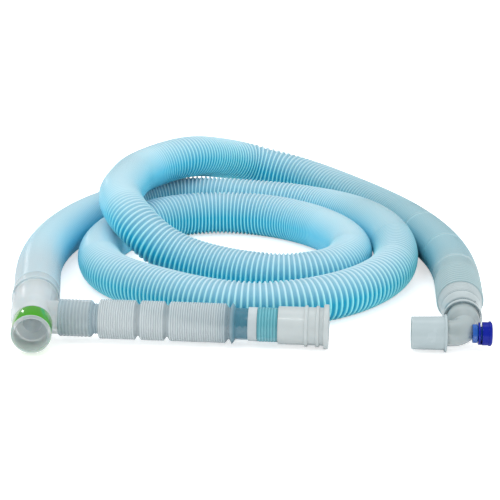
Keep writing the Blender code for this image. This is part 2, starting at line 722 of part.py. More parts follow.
def smooth_route(points, start_direction, end_direction, count, lead):
    """Points of a cubic curve through the route, which leaves and arrives along the given directions."""
    points = np.array([tuple(point) for point in points])
    spans = np.linalg.norm(np.diff(points, axis=0), axis=1)
    slopes = np.diff(points, axis=0) / spans[:, None]
    size = len(points)
    matrix = np.zeros((size, size))
    change = np.zeros((size, 3))
    matrix[0, :2] = (2 * spans[0], spans[0])
    change[0] = 6 * (slopes[0] - np.array(start_direction))
    matrix[-1, -2:] = (spans[-1], 2 * spans[-1])
    change[-1] = 6 * (np.array(end_direction) - slopes[-1])
    for i in range(1, size - 1):
        matrix[i, i - 1:i + 2] = (spans[i - 1], 2 * (spans[i - 1] + spans[i]), spans[i])
        change[i] = 6 * (slopes[i] - slopes[i - 1])
    bends = np.linalg.solve(matrix, change)
    knots = np.concatenate(([0.0], np.cumsum(spans)))
    end = knots[-1]
    places = np.concatenate(([0.0], np.linspace(lead, end - lead, count - 2), [end]))
    route = []
    for place in places:
        i = min(max(int(np.searchsorted(knots, place)) - 1, 0), size - 2)
        before = place - knots[i]
        after = knots[i + 1] - place
        route.append(
            (bends[i] * after ** 3 + bends[i + 1] * before ** 3) / (6 * spans[i])
            + (points[i] / spans[i] - bends[i] * spans[i] / 6) * after
            + (points[i + 1] / spans[i] - bends[i + 1] * spans[i] / 6) * before
        )
    return np.array(route)


def make_hose(exit_place, exit_direction, arrival_place, arrival_direction, parts, material):
    """The corrugated hose as a plain round tube along its route, held up by the floor."""
    layout = Vector(LAYOUT_ORIGIN)
    route = [exit_place] + [Vector(point) + layout for point in HOSE_ROUTE] + [arrival_place]
    points = smooth_route(route, exit_direction, arrival_direction, HOSE_POINTS, HOSE_LEAD)
    points[:, 2] = np.maximum(points[:, 2], HOSE_RADIUS)
    hose = swept("corrugated_hose", points, [HOSE_RADIUS] * len(points), HOSE_RING_RESOLUTION, None, parts)
    hose.data.materials.append(material)


def main():
    clear_scene()
    parts = new_collection("breathing_circuit")
    tools = new_collection("cutters")
    layout = Vector(LAYOUT_ORIGIN)
    up = Vector((0.0, 0.0, 1.0))

    manifold_centre = layout + Vector((*MANIFOLD_PLACE, CUFF_LIP_RADIUS))
    barrel_axis = direction(90.0 + MANIFOLD_YAW)
    branch_centre = manifold_centre + barrel_axis * BRANCH_OFFSET
    limb_length = end_cuff_start() + END_CUFF_LENGTH
    limb_droop = math.degrees(math.atan2(CUFF_LIP_RADIUS - END_CUFF_FLANGE_RADIUS, limb_length))
    limb_axis = direction(LIMB_YAW, -limb_droop)
    barrel = axis_empty("barrel_axis", manifold_centre, barrel_axis, up, tools)
    limb = axis_empty("limb_axis", branch_centre, limb_axis, up, tools)

    elbow_centre = layout + Vector((*ELBOW_PLACE, SLEEVE_FLANGE_RADIUS))
    elbow_rise = math.degrees(math.asin((HOSE_HEIGHT_AT_ELBOW - SLEEVE_FLANGE_RADIUS) / PATIENT_CUFF_END))
    sampling_axis = direction(ELBOW_YAW)
    branch_axis = direction(90.0 + ELBOW_YAW, elbow_rise)
    elbow = axis_empty("elbow_plane", elbow_centre, sampling_axis.cross(branch_axis), sampling_axis, tools)
    sleeve = axis_empty("sleeve_axis", elbow_centre, -sampling_axis, up, tools)
    port = axis_empty("sampling_axis", elbow_centre, sampling_axis, up, tools)
    elbow_branch = axis_empty("elbow_branch_axis", elbow_centre, branch_axis, up, tools)

    clear = new_material("clear_plastic", (0.72, 0.80, 0.80), 0.15, alpha=0.5)
    soft_clear = new_material("soft_clear_plastic", (0.62, 0.72, 0.74), 0.25, alpha=0.6)
    white = new_material("white_plastic", (0.80, 0.83, 0.83), 0.3)
    green = new_material("green_ring_plastic", (0.06, 0.36, 0.01), 0.15)
    teal = new_material("teal_plastic", (0.05, 0.45, 0.52), 0.25, alpha=0.85)
    light_blue = new_material("port_plastic", (0.06, 0.24, 0.60), 0.2, alpha=0.8)
    dark_blue = new_material("cap_plastic", (0.0, 0.01, 0.26), 0.2)
    hose_blue = new_material("hose_plastic", (0.42, 0.76, 0.87), 0.3, alpha=0.9)
    inner_hose = new_material("inner_hose_plastic", (0.55, 0.70, 0.76), 0.3, alpha=0.8)

    make_manifold_body(barrel, limb, parts, tools, clear)
    make_port_ring(barrel, parts, green)
    make_manifold_cuff(barrel, parts, soft_clear)
    make_inner_hose_ends(barrel, elbow_branch, parts, inner_hose)
    make_expandable_limb(limb, parts, soft_clear)
    make_limb_connector(limb, parts, teal)
    make_limb_end_cuff(limb, parts, white)
    make_elbow_body(elbow, port, parts, tools, clear)
    make_patient_sleeve(sleeve, parts, white)
    make_elbow_cuff(elbow_branch, parts, soft_clear)
    make_sampling_port(elbow, port, parts, tools, light_blue)
    make_sampling_cap(port, parts, tools, dark_blue)
    make_hose(
        manifold_centre + barrel_axis * (CUFF_END + SEAT_GAP), barrel_axis,
        elbow_centre + branch_axis * (PATIENT_CUFF_END + SEAT_GAP), -branch_axis,
        parts, hose_blue,
    )
    for tool in tools.objects:
        tool.hide_render = True


main()
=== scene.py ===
"""The looks of the breathing circuit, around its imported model.

The hose's lengths are in metres, the fittings' are in millimetres, and all angles are in degrees.
"""

import math

import bmesh
import bpy
import numpy as np
from mathutils import Matrix, Vector


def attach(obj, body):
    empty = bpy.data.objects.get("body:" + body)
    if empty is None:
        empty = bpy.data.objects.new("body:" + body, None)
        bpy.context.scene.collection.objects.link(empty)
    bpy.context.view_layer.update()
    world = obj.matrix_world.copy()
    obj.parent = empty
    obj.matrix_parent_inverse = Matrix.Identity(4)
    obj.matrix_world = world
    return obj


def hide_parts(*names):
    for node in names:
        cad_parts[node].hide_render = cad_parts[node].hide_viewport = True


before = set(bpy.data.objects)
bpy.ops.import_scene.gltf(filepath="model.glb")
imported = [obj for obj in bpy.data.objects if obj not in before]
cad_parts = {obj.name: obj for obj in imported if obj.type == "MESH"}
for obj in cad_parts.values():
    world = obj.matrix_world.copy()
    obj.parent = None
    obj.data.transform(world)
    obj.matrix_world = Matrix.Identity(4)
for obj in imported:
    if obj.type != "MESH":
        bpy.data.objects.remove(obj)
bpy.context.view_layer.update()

MM = 0.001
GAP = 0.3

# The layout's zero in the part's frame, as the part's source has it
LAYOUT_ORIGIN = Vector((0.001674, 0.17184, 0.0))

# Camera: it looks along +Y, down at the layout's zero
CAMERA_DISTANCE = 1.490
CAMERA_DOWN = 20.0
CAMERA_LENS = 140.0
CAMERA_SENSOR = 36.0

# Lamps: place, size and power; all look at the middle of the loops
LAMP_TARGET = (0.0, 0.1, 0.0)
LAMPS = {
    "key": ((-0.6, -0.7, 1.5), (0.45, 0.35), 4.5),
    "top": ((0.1, 0.5, 1.6), (1.2, 0.8), 3.0),
    "side": ((1.4, -0.3, 0.8), (0.6, 0.8), 1.0),
    "strip": ((-0.68, 1.36, 0.26), (0.05, 0.20), 0.3),
}

WORLD_LIGHT = 1.0
WORLD_IN_REFLECTIONS = 0.35
FLOOR_SIZE = 3.0
FLOOR_COLOUR = (0.93, 0.93, 0.93)
FLOOR_ROUGHNESS = 0.9
FLOOR_GLOW = 0.60

# Hose, as the part's source has it
HOSE_RADIUS = 0.016
HOSE_ROUTE = [
    (-0.1525, -0.085, 0.016), (-0.1477, -0.030, 0.016), (-0.132, 0.0155, 0.016), (-0.097, 0.061, 0.016),
    (-0.059, 0.080, 0.016), (-0.006, 0.0745, 0.016), (0.049, 0.055, 0.016), (0.083, 0.018, 0.020),
    (0.1055, -0.034, 0.020), (0.104, -0.078, 0.016), (0.076, -0.124, 0.016), (0.033, -0.150, 0.016),
    (-0.015, -0.152, 0.016), (-0.064, -0.126, 0.016), (-0.102, -0.089, 0.016), (-0.110, -0.042, 0.016),
    (-0.093, 0.004, 0.016), (-0.058, 0.034, 0.016), (-0.012, 0.041, 0.016), (0.035, 0.022, 0.016),
    (0.066, -0.017, 0.017), (0.0735, -0.057, 0.017), (0.058, -0.086, 0.016), (0.020, -0.097, 0.016),
    (-0.027, -0.082, 0.017), (-0.063, -0.066, 0.026), (-0.086, -0.048, 0.041), (-0.097, -0.019, 0.048),
    (-0.094, 0.018, 0.048), (-0.086, 0.052, 0.046), (-0.055, 0.080, 0.0488), (-0.030, 0.110, 0.0404),
    (0.000, 0.139, 0.026), (0.036, 0.132, 0.018), (0.072, 0.095, 0.016), (0.105, 0.047, 0.016),
    (0.134, -0.014, 0.016), (0.147, -0.082, 0.016),
]

# How far apart the hose's ribs stand along it: (distance along the hose, pitch)
RIB_CLOSED_PITCH = 0.0020
RIB_FINE_PITCH = 0.0028
RIB_OPEN_PITCH = 0.0033
RIB_WIDE_PITCH = 0.0040
RIB_WIDEST_PITCH = 0.0046
RIB_STATES = [
    (0.000, RIB_CLOSED_PITCH), (0.200, RIB_CLOSED_PITCH), (0.250, RIB_OPEN_PITCH), (0.345, RIB_OPEN_PITCH),
    (0.430, RIB_CLOSED_PITCH), (0.470, RIB_CLOSED_PITCH), (0.535, RIB_WIDE_PITCH), (0.620, RIB_WIDE_PITCH),
    (0.740, RIB_OPEN_PITCH), (0.782, RIB_FINE_PITCH), (0.806, RIB_CLOSED_PITCH), (0.845, RIB_CLOSED_PITCH),
    (0.895, RIB_OPEN_PITCH), (0.985, RIB_OPEN_PITCH), (1.060, RIB_CLOSED_PITCH), (1.105, RIB_CLOSED_PITCH),
    (1.165, RIB_OPEN_PITCH), (1.240, RIB_OPEN_PITCH), (1.285, RIB_WIDE_PITCH), (1.305, RIB_OPEN_PITCH),
    (1.328, RIB_CLOSED_PITCH), (1.430, RIB_CLOSED_PITCH), (1.458, RIB_FINE_PITCH), (1.500, RIB_OPEN_PITCH),
    (1.545, RIB_WIDEST_PITCH), (1.620, RIB_WIDE_PITCH), (1.660, RIB_OPEN_PITCH), (1.695, RIB_FINE_PITCH),
    (1.735, RIB_CLOSED_PITCH), (1.862, RIB_CLOSED_PITCH), (1.872, RIB_OPEN_PITCH), (1.905, RIB_OPEN_PITCH),
]
RIB_CLOSED_RADIUS = 0.0163
RIB_OPEN_RADIUS = 0.0164
RIB_CLOSED_DEPTH = 0.00015
RIB_OPEN_DEPTH = 0.0017
# A rib's outline: (share of the pitch, share of the height). Stretches less open than this get the plain one
RIB_SHAPED_FROM = 0.12
RIB_SHAPE = ((0.0, 0.0), (0.28, 0.45), (0.43, 0.95), (0.57, 0.95), (0.72, 0.45))
RIB_PLAIN_SHAPE = ((0.0, 0.0), (0.5, 1.0))
HOSE_SIDES = 36
# The hose's line has this many points, read off a curve with more of them
LINE_POINTS = 6000
CURVE_POINTS = 8 * LINE_POINTS
# Where moulded collars join the hose's stretches, and how wide they are
HOSE_COLLARS = (1.752, 1.802, 1.846)
HOSE_COLLAR_WIDTH = 0.0038
COLLAR_GROOVE = 0.3
COLLAR_SHAPE = ((0.0, -COLLAR_GROOVE), (0.08, -COLLAR_GROOVE), (0.22, 1.0), (0.92, 1.0))
COLLAR_DEPTH = RIB_OPEN_DEPTH / 2
CLEAR_START_LENGTH = 0.020
CLEAR_START_FADE = 0.075
CLEAR_END_LENGTH = 0.030
CLEAR_END_FADE = 0.050
# Where the film is duller and greyer: (distance along the hose, share)
DULL_STATES = (
    (0.380, 0.0), (0.430, 0.5), (0.480, 0.4), (0.540, 0.0), (1.560, 0.0), (1.720, 0.9), (1.900, 0.9))
# The film's colours in its grooves and on its crests. In each pair the darker colour, for the grooves, is
# painted shade, and the lighter crest colour is painted highlight. The top colours are paler, painted light
# from above, and the side colours are deeper, painted shade
FILM = {
    "open_top": ((0.29, 0.54, 0.66), (0.58, 0.78, 0.86)),
    "open_side": ((0.012, 0.39, 0.62), (0.34, 0.95, 1.0)),
    "closed_top": ((0.39, 0.63, 0.73), (0.54, 0.76, 0.84)),
    "closed_side": ((0.08, 0.53, 0.78), (0.22, 0.73, 0.93)),
    "dull_top": ((0.22, 0.40, 0.46), (0.38, 0.58, 0.64)),
    "dull_side": ((0.09, 0.33, 0.43), (0.15, 0.46, 0.56)),
    "clear_start": ((0.40, 0.54, 0.60), (0.58, 0.71, 0.77)),
    "clear_end": ((0.18, 0.32, 0.36), (0.46, 0.60, 0.62)),
}
# Between which rib heights the colour goes from the painted shade in the grooves to the painted highlight on
# the crests, and between which slopes it goes from the deeper sides, painted shade, to the paler top,
# painted light
FILM_PAINTED_HIGHLIGHT_HEIGHTS = (0.35, 0.95)
FILM_PAINTED_LIGHT_SLOPES = (0.05, 1.0)
# How fast the film gets its open colours as its ribs open
FILM_CONTRAST = 0.6
FILM_ROUGHNESS = (0.36, 0.26)
FILM_SPECULAR = 0.22
FILM_SUBSURFACE = 0.15
FILM_SCATTER_RADIUS = (0.4, 0.8, 1.0)
FILM_SCATTER_SCALE = 0.001

# Fittings, in millimetres, as the part's source has them. The finer ribs on the limb's cuff, the ribs on the
# teal band and the pleats on the elbow's cuff are this script's own
TURN_SIDES = 72
FILLET = 0.5
RING_FILLET = 0.3
LIMB_FILLET = 0.25
BAND_FILLET = 0.2
END_CUFF_FILLET = 0.6
# A corner's arc uses up to this share of each side, and a bend of less than these degrees stays as it is
CORNER_SHARE = 0.45
STRAIGHT_WITHIN = 20.0
ARC_SHARES = (0.0, 0.33, 0.67, 1.0)
# One ring of a corrugated tube: (share of the pitch, share of the depth)
RING_SHAPE = ((0.0, 1.0), (0.3, 0.2), (0.5, 0.0), (0.7, 0.2))
# In metres: points nearer than this are joined, and edges shorter than this are dissolved
JOINED_WITHIN = 1e-6
DISSOLVED_WITHIN = 1e-7
# How far a zone of crests reaches past a piece's end, and past a step inside it
END_ROOM = 1.0
STEP_ROOM = 0.1

# The tee: distances run along its barrel
MANIFOLD_PLACE = (-146.6, -179.9, 16.8)
MANIFOLD_YAW = 3.0
PORT_START = -30.0
PORT_LIP_RADIUS = 13.6
PORT_LIP_END = -28.6
RING_SEAT_RADIUS = 12.6
RING_SEAT_END = -11.6
RING_RADIUS = 13.5
SOCKET_MOUTH_RADIUS = 11.25
SOCKET_FLOOR = -13.2
SOCKET_FLOOR_RADIUS = 11.0
PASSAGE_START = -10.0
PASSAGE_RADIUS = 6.4
NIPPLE_RADIUS = 7.6
NIPPLE_END = 41.0
WALL = 1.5
SHOULDER_START = -8.5
SHOULDER_STEPS = 10
BARREL_START = 3.0
BARREL_RADIUS = 15.7
BARREL_END = 33.7
SPIGOT_RADIUS = 14.5
SPIGOT_END = 43.5
BRANCH_OFFSET = 2.3
BRANCH_ROOT_RADIUS = 11.3
BRANCH_ROOT_END = 17.7
BRANCH_RADIUS = 10.9
BRANCH_END = 38.6
BRANCH_BORE_RADIUS = 8.0
BRANCH_BORE_START = 9.5
CUFF_LIP_RADIUS = 16.8
CUFF_RADIUS = 16.3
CUFF_LIP_LENGTH = 2.4
CUFF_END = 46.0

# The expandable limb: distances run out along it from the barrel's axis
LIMB_YAW = -4.1
LIMB_DROOP = 0.515
LIMB_START = 18.0
LIMB_WALL = 0.9
LIMB_CUFF_RADIUS = 12.3
LIMB_CUFF_END = 39.9
LIMB_CUFF_RIB_PITCH = 2.4
LIMB_CUFF_RIB_HEIGHT = 0.35
LIMB_CUFF_CREST_HEIGHT = 1.6 * LIMB_CUFF_RIB_HEIGHT
LIMB_NECK_RADIUS = 10.4
LIMB_RADIUS = 13.5
LIMB_SECTIONS = ((45.4, 69.8), (73.6, 89.4), (93.2, 131.0))
LIMB_FOLD_DEPTH = 2.7
LIMB_TOOTH_PITCH = 1.55
LIMB_TOOTH_DEPTH = 0.5
LIMB_RIDGE_PLACE = 135.3
LIMB_RIDGE_RADIUS = 14.0
LIMB_SECOND_NECK_START = 137.6
LIMB_SECOND_NECK_RADIUS = 10.7
LIMB_COLLAR_START = 146.1
LIMB_COLLAR_RADIUS = 11.5
LIMB_END = 152.1
# How much of the blue inside shows through: (distance, share)
LIMB_TINTS = (
    (18.0, 0.40), (26.0, 0.16), (38.0, 0.10), (40.0, 0.40), (45.3, 0.40), (45.5, 0.0), (124.0, 0.0),
    (134.0, 0.35), (137.0, 0.9), (146.0, 0.9), (146.2, 0.0))
BAND_START = 152.4
BAND_END = 165.8
BAND_RADIUS = 11.7
BAND_DEPTH = 0.3
BAND_PITCH = 2.1
CONNECTOR_RADIUS = 10.3
CONNECTOR_WALL = 1.4
CONNECTOR_SPIGOT_LENGTH = 5.5
END_CUFF_START = 166.1
END_CUFF_END = 200.2
END_CUFF_RADIUS = 12.8
END_CUFF_BORE_RADIUS = 11.0
END_CUFF_MOUTH_RADIUS = 11.3
END_CUFF_BORE_DEPTH = 22.0
END_CUFF_FLANGE_RADIUS = 15.0
END_CUFF_FLANGE_LENGTH = 3.4
END_CUFF_RIB_HEIGHT = 1.1
END_CUFF_RIB_LENGTH = 2.2
END_CUFF_RIB_PLACES = (17.8, 25.5)

# The elbow: the sleeve's and the branch's distances run outwards from the bend's corner
ELBOW_PLACE = (143.6, -198.0, 12.7)
ELBOW_YAW = -2.0
ELBOW_RISE = 3.82
ELBOW_RADIUS = 8.8
ELBOW_BORE_RADIUS = 7.3
ELBOW_BEND_RADIUS = 9.5
ELBOW_BEND_STEPS = 12
ELBOW_LEG_END = 14.6
ELBOW_FLARE_START = 10.5
ELBOW_CONE_START = 12.6
ELBOW_CONE_RADIUS = 11.25
ELBOW_CONE_END = 35.0
ELBOW_CONE_END_RADIUS = 11.0
ELBOW_CONE_BORE_RADIUS = 9.6
SLEEVE_FLANGE_RADIUS = 12.7
SLEEVE_FLANGE_START = 12.2
SLEEVE_FLANGE_END = 13.8
SLEEVE_ROOT_RADIUS = 11.25
SLEEVE_TIP_RADIUS = 11.0
SLEEVE_END = 35.8
SLEEVE_WALL = 1.3
SLEEVE_WEB_END = 16.8
SLEEVE_BORE_RADIUS = 7.6
SLEEVE_INNER_END = 35.0
PATIENT_CUFF_START = 23.0
PATIENT_CUFF_END = 50.0
PATIENT_CUFF_LIP_RADIUS = 13.3
PATIENT_CUFF_LIP_END = 26.0
PATIENT_CUFF_WAIST_RADIUS = 12.5
PATIENT_CUFF_WAIST_PLACE = 32.0
PATIENT_CUFF_SHOULDER_RADIUS = 14.0
PATIENT_CUFF_SHOULDER_PLACE = 38.0
PATIENT_CUFF_SHOULDER_STEPS = 8
PATIENT_CUFF_END_RADIUS = 15.2
PATIENT_CUFF_PLEATS = 6
PATIENT_CUFF_PLEAT_DEPTH = 0.6
PATIENT_CUFF_VALLEY_SHARE = 0.3
PATIENT_CUFF_CREST_SHARE = 0.8
PORT_BASE_RADIUS = 6.3
PORT_BASE_START = 5.0
PORT_BASE_END = 8.4
PORT_NECK_RADIUS = 4.7
PORT_NECK_END = 15.0
PORT_BORE_RADIUS = 2.0
CAP_RING_RADIUS = 7.5
CAP_RING_LENGTH = 1.5
CAP_START = 11.4
CAP_END = 18.1
CAP_RADIUS = 7.9
CAP_RIM_RADIUS = 8.4
CAP_RIM_START = 15.7
CAP_RIM_END = 17.3
CAP_STRAP_SIZE = (1.6, 5.0, 4.2)
CAP_STRAP_PLACE = (-6.4, 0.0, 11.5)

# Inner hose
INNER_HOSE_START = 31.0
INNER_HOSE_RADIUS = 9.0
INNER_HOSE_BORE = 7.9
INNER_HOSE_FREE_START = 27.0
INNER_HOSE_FREE_RADIUS = 7.6
INNER_HOSE_FREE_BORE = 6.4
INNER_HOSE_PITCH = 2.2
INNER_HOSE_DEPTH = 0.5


def direction(yaw, rise=0.0):
    """The level direction yaw degrees from +X towards +Y, tipped up by rise degrees."""
    level = math.cos(math.radians(rise))
    return Vector((
        level * math.cos(math.radians(yaw)),
        level * math.sin(math.radians(yaw)),
        math.sin(math.radians(rise)),
    ))


def axis_frame(origin, along, side=Vector((0.0, 0.0, 1.0))):
    """A frame at origin (in metres) whose +Z runs along a piece's axis and whose +X points near side."""
    z_axis = along.normalized()
    x_axis = (side - z_axis * side.dot(z_axis)).normalized()
    turn = Matrix((x_axis, z_axis.cross(x_axis), z_axis)).transposed().to_4x4()
    return Matrix.Translation(origin) @ turn


MANIFOLD_CENTRE = LAYOUT_ORIGIN + Vector(MANIFOLD_PLACE) * MM
BARREL_AXIS = direction(90.0 + MANIFOLD_YAW)
LIMB_AXIS = direction(LIMB_YAW, -LIMB_DROOP)
ELBOW_CENTRE = LAYOUT_ORIGIN + Vector(ELBOW_PLACE) * MM
SAMPLING_AXIS = direction(ELBOW_YAW)
ELBOW_BRANCH_AXIS = direction(90.0 + ELBOW_YAW, ELBOW_RISE)
BARREL = axis_frame(MANIFOLD_CENTRE, BARREL_AXIS)
LIMB = axis_frame(MANIFOLD_CENTRE + BARREL_AXIS * BRANCH_OFFSET * MM, LIMB_AXIS)
SLEEVE = axis_frame(ELBOW_CENTRE, -SAMPLING_AXIS)
SAMPLING = axis_frame(ELBOW_CENTRE, SAMPLING_AXIS)
ELBOW_BRANCH = axis_frame(ELBOW_CENTRE, ELBOW_BRANCH_AXIS)
ELBOW = axis_frame(ELBOW_CENTRE, SAMPLING_AXIS.cross(ELBOW_BRANCH_AXIS), SAMPLING_AXIS)


# Looks that all the plastics share: clouds in their colour, grain, and how much more a clear wall covers
NOISE_DETAIL = 3.0
CLOUD_SCALE = 90.0
CLOUD_TONES = (0.93, 1.06)
CLOUD_ROUGHNESS = (0.8, 1.25)
GRAIN_SCALE = 1400.0
GRAIN_STRENGTH = 0.1
GRAIN_DEPTH = 0.0002
COAT_ROUGHNESS = 0.05
SCATTER_RADIUS = (0.5, 0.7, 0.8)
SCATTER_SCALE = 0.002
EDGE_BLEND = 0.35
EDGE_COVER = 0.45
GROOVE_COVER = 0.7
# Plastics with colours for their grooves get painted shade there: those colours are darker than the
# plastic's own
PLASTICS = {
    "clear_moulded": {
        "colour": (0.76, 0.83, 0.85), "roughness": 0.2, "alpha": 0.30, "subsurface": 0.5, "specular": 0.25},
    "soft_clear": {
        "colour": (0.66, 0.78, 0.82), "roughness": 0.24, "alpha": 0.38, "coat": 0.2, "subsurface": 0.4},
    "pleated_clear": {
        "colour": (0.66, 0.75, 0.77), "roughness": 0.2, "alpha": 0.5, "coat": 0.3,
        "groove_shade": (0.20, 0.30, 0.33)},
    "limb_clear": {
        "colour": (0.68, 0.76, 0.79), "roughness": 0.24, "alpha": 0.58, "coat": 0.2,
        "groove_shade": (0.48, 0.56, 0.59), "tint": (0.04, 0.25, 0.36)},
    "elbow_clear": {
        "colour": (0.56, 0.65, 0.66), "roughness": 0.12, "alpha": 0.42, "coat": 0.6, "subsurface": 0.3},
    "inner_hose_film": {"colour": (0.45, 0.66, 0.78), "roughness": 0.3, "alpha": 0.6},
    "white_moulded": {"colour": (0.52, 0.58, 0.59), "roughness": 0.3, "subsurface": 0.2, "coat": 0.3},
    "sleeve_moulded": {"colour": (0.50, 0.60, 0.63), "roughness": 0.25, "alpha": 0.85, "coat": 0.4},
    "green_band": {"colour": (0.045, 0.33, 0.001), "roughness": 0.15, "coat": 0.4, "specular": 0.2},
    "teal_band": {
        "colour": (0.19, 0.54, 0.62), "roughness": 0.2, "alpha": 0.75, "coat": 0.3, "specular": 0.3,
        "groove_shade": (0.09, 0.40, 0.49)},
    "port_blue": {
        "colour": (0.02, 0.13, 0.55), "roughness": 0.2, "alpha": 0.7, "coat": 0.3, "specular": 0.25},
    "cap_blue": {"colour": (0.0, 0.010, 0.30), "roughness": 0.2, "coat": 0.2, "specular": 0.2},
}


def ramp(value, start, end):
    """0 below start and 1 above end, with a soft change between."""
    share = np.clip((value - start) / (end - start), 0.0, 1.0)
    return share * share * (3 - 2 * share)


# Materials
def shader_of(material):
    return material.node_tree.nodes["Principled BSDF"]


def mixed(nodes, links, factor, first, second):
    """A colour mix by factor, whose two ends are colours or sockets."""
    mix = nodes.new("ShaderNodeMix")
    mix.data_type = "RGBA"
    links.new(factor, mix.inputs["Factor"])
    for name, end in (("A", first), ("B", second)):
        if isinstance(end, tuple):
            mix.inputs[name].default_value = (*end, 1.0)
        else:
            links.new(end, mix.inputs[name])
    return mix.outputs["Result"]


def mapped(nodes, links, value, to_min, to_max, from_min=0.0, from_max=1.0):
    spread = nodes.new("ShaderNodeMapRange")
    spread.inputs["From Min"].default_value = from_min
    spread.inputs["From Max"].default_value = from_max
    spread.inputs["To Min"].default_value = to_min
    spread.inputs["To Max"].default_value = to_max
    links.new(value, spread.inputs["Value"])
    return spread.outputs["Result"]


def attribute(nodes, name):
    reader = nodes.new("ShaderNodeAttribute")
    reader.attribute_name = name
    return reader.outputs["Fac"]


def noise(nodes, links, scale):
    place = nodes.new("ShaderNodeTexCoord")
    clouds = nodes.new("ShaderNodeTexNoise")
    clouds.inputs["Scale"].default_value = scale
    clouds.inputs["Detail"].default_value = NOISE_DETAIL
    links.new(place.outputs["Object"], clouds.inputs["Vector"])
    return clouds.outputs["Fac"]


def bumped(nodes, links, height, strength, distance):
    relief = nodes.new("ShaderNodeBump")
    relief.inputs["Strength"].default_value = strength
    relief.inputs["Distance"].default_value = distance
    links.new(height, relief.inputs["Height"])
    return relief.outputs["Normal"]


def denser_at_edges(nodes, links, alpha):
    """A clear wall covers more where it is seen along its surface."""
    edge = nodes.new("ShaderNodeLayerWeight")
    edge.inputs["Blend"].default_value = EDGE_BLEND
    return mapped(nodes, links, edge.outputs["Facing"], alpha, min(alpha + EDGE_COVER, 1.0))


def thinned(nodes, links, cover, crest):
    """Cover that is less in the grooves, where the wall is thinner."""
    share = nodes.new("ShaderNodeMath")
    share.operation = "MULTIPLY"
    links.new(cover, share.inputs[0])
    links.new(mapped(nodes, links, crest, GROOVE_COVER, 1.0), share.inputs[1])
    return share.outputs[0]


def plastic(name, colour, roughness, alpha=1.0, coat=0.0, subsurface=0.0, specular=0.4, groove_shade=None,
            tint=None):
    """A moulded plastic: faint clouds in its colour, a soft sheen and a trace of moulding texture.

    With a colour for its grooves, the mesh's crest attribute says where the plastic has its own colour
    instead; that darker colour is painted shade in the grooves.
    With a tint, its tint attribute says how much of what is inside shows through.
    """
    material = bpy.data.materials.new(name)
    material.use_nodes = True
    nodes = material.node_tree.nodes
    links = material.node_tree.links
    shader = shader_of(material)
    clouds = noise(nodes, links, CLOUD_SCALE)
    darker, lighter = (tuple(min(channel * tone, 1.0) for channel in colour) for tone in CLOUD_TONES)
    tone = mixed(nodes, links, clouds, darker, lighter)
    # Painted shade: the darker colour in the grooves, where the crest attribute is low
    if groove_shade:
        tone = mixed(nodes, links, attribute(nodes, "crest"), groove_shade, tone)
    if tint:
        tone = mixed(nodes, links, attribute(nodes, "tint"), tone, tint)
    links.new(tone, shader.inputs["Base Color"])
    smoother, rougher = (roughness * share for share in CLOUD_ROUGHNESS)
    links.new(mapped(nodes, links, clouds, smoother, rougher), shader.inputs["Roughness"])
    grain = bumped(nodes, links, noise(nodes, links, GRAIN_SCALE), GRAIN_STRENGTH, GRAIN_DEPTH)
    links.new(grain, shader.inputs["Normal"])
    shader.inputs["Specular IOR Level"].default_value = specular
    shader.inputs["Coat Weight"].default_value = coat
    shader.inputs["Coat Roughness"].default_value = COAT_ROUGHNESS
    shader.inputs["Subsurface Weight"].default_value = subsurface
    shader.inputs["Subsurface Radius"].default_value = SCATTER_RADIUS
    shader.inputs["Subsurface Scale"].default_value = SCATTER_SCALE
    if alpha < 1.0:
        cover = denser_at_edges(nodes, links, alpha)
        if groove_shade:
            cover = thinned(nodes, links, cover, attribute(nodes, "crest"))
        links.new(cover, shader.inputs["Alpha"])
    return material


def hose_film():
    """Pale blue film with painted light: paler where it faces up and deeper on its sides, with painted shade
    in its open grooves and painted highlight on its crests; duller, then clear, towards its ends.
    """
    material = bpy.data.materials.new("hose_film")
    material.use_nodes = True
    nodes = material.node_tree.nodes
    links = material.node_tree.links
    shader = shader_of(material)
    rib = attribute(nodes, "rib")
    dull = attribute(nodes, "dull")
    # Painted shade in the grooves and painted highlight on the crests, by the rib height
    crest = mapped(nodes, links, rib, 0.0, 1.0, *FILM_PAINTED_HIGHLIGHT_HEIGHTS)
    # Painted light on the upward-facing side and painted shade on the sides, by how far the surface faces up
    top = mapped(nodes, links, attribute(nodes, "top"), 0.0, 1.0, *FILM_PAINTED_LIGHT_SLOPES)
    tones = {
        name: mixed(nodes, links, crest if name.startswith("open") else rib, groove_shade, height)
        for name, (groove_shade, height) in FILM.items()
    }
    opened, closed, dulled = (
        mixed(nodes, links, top, tones[state + "_side"], tones[state + "_top"])
        for state in ("open", "closed", "dull"))
    contrast = nodes.new("ShaderNodeMath")
    contrast.operation = "POWER"
    contrast.inputs[1].default_value = FILM_CONTRAST
    links.new(attribute(nodes, "stretch"), contrast.inputs[0])
    film = mixed(nodes, links, contrast.outputs[0], closed, opened)
    film = mixed(nodes, links, dull, film, dulled)
    clear_wall = mixed(nodes, links, dull, tones["clear_start"], tones["clear_end"])
    film = mixed(nodes, links, attribute(nodes, "clear"), film, clear_wall)
    links.new(film, shader.inputs["Base Color"])
    links.new(mapped(nodes, links, rib, *FILM_ROUGHNESS), shader.inputs["Roughness"])
    shader.inputs["Specular IOR Level"].default_value = FILM_SPECULAR
    shader.inputs["Subsurface Weight"].default_value = FILM_SUBSURFACE
    shader.inputs["Subsurface Radius"].default_value = FILM_SCATTER_RADIUS
    shader.inputs["Subsurface Scale"].default_value = FILM_SCATTER_SCALE
    return material


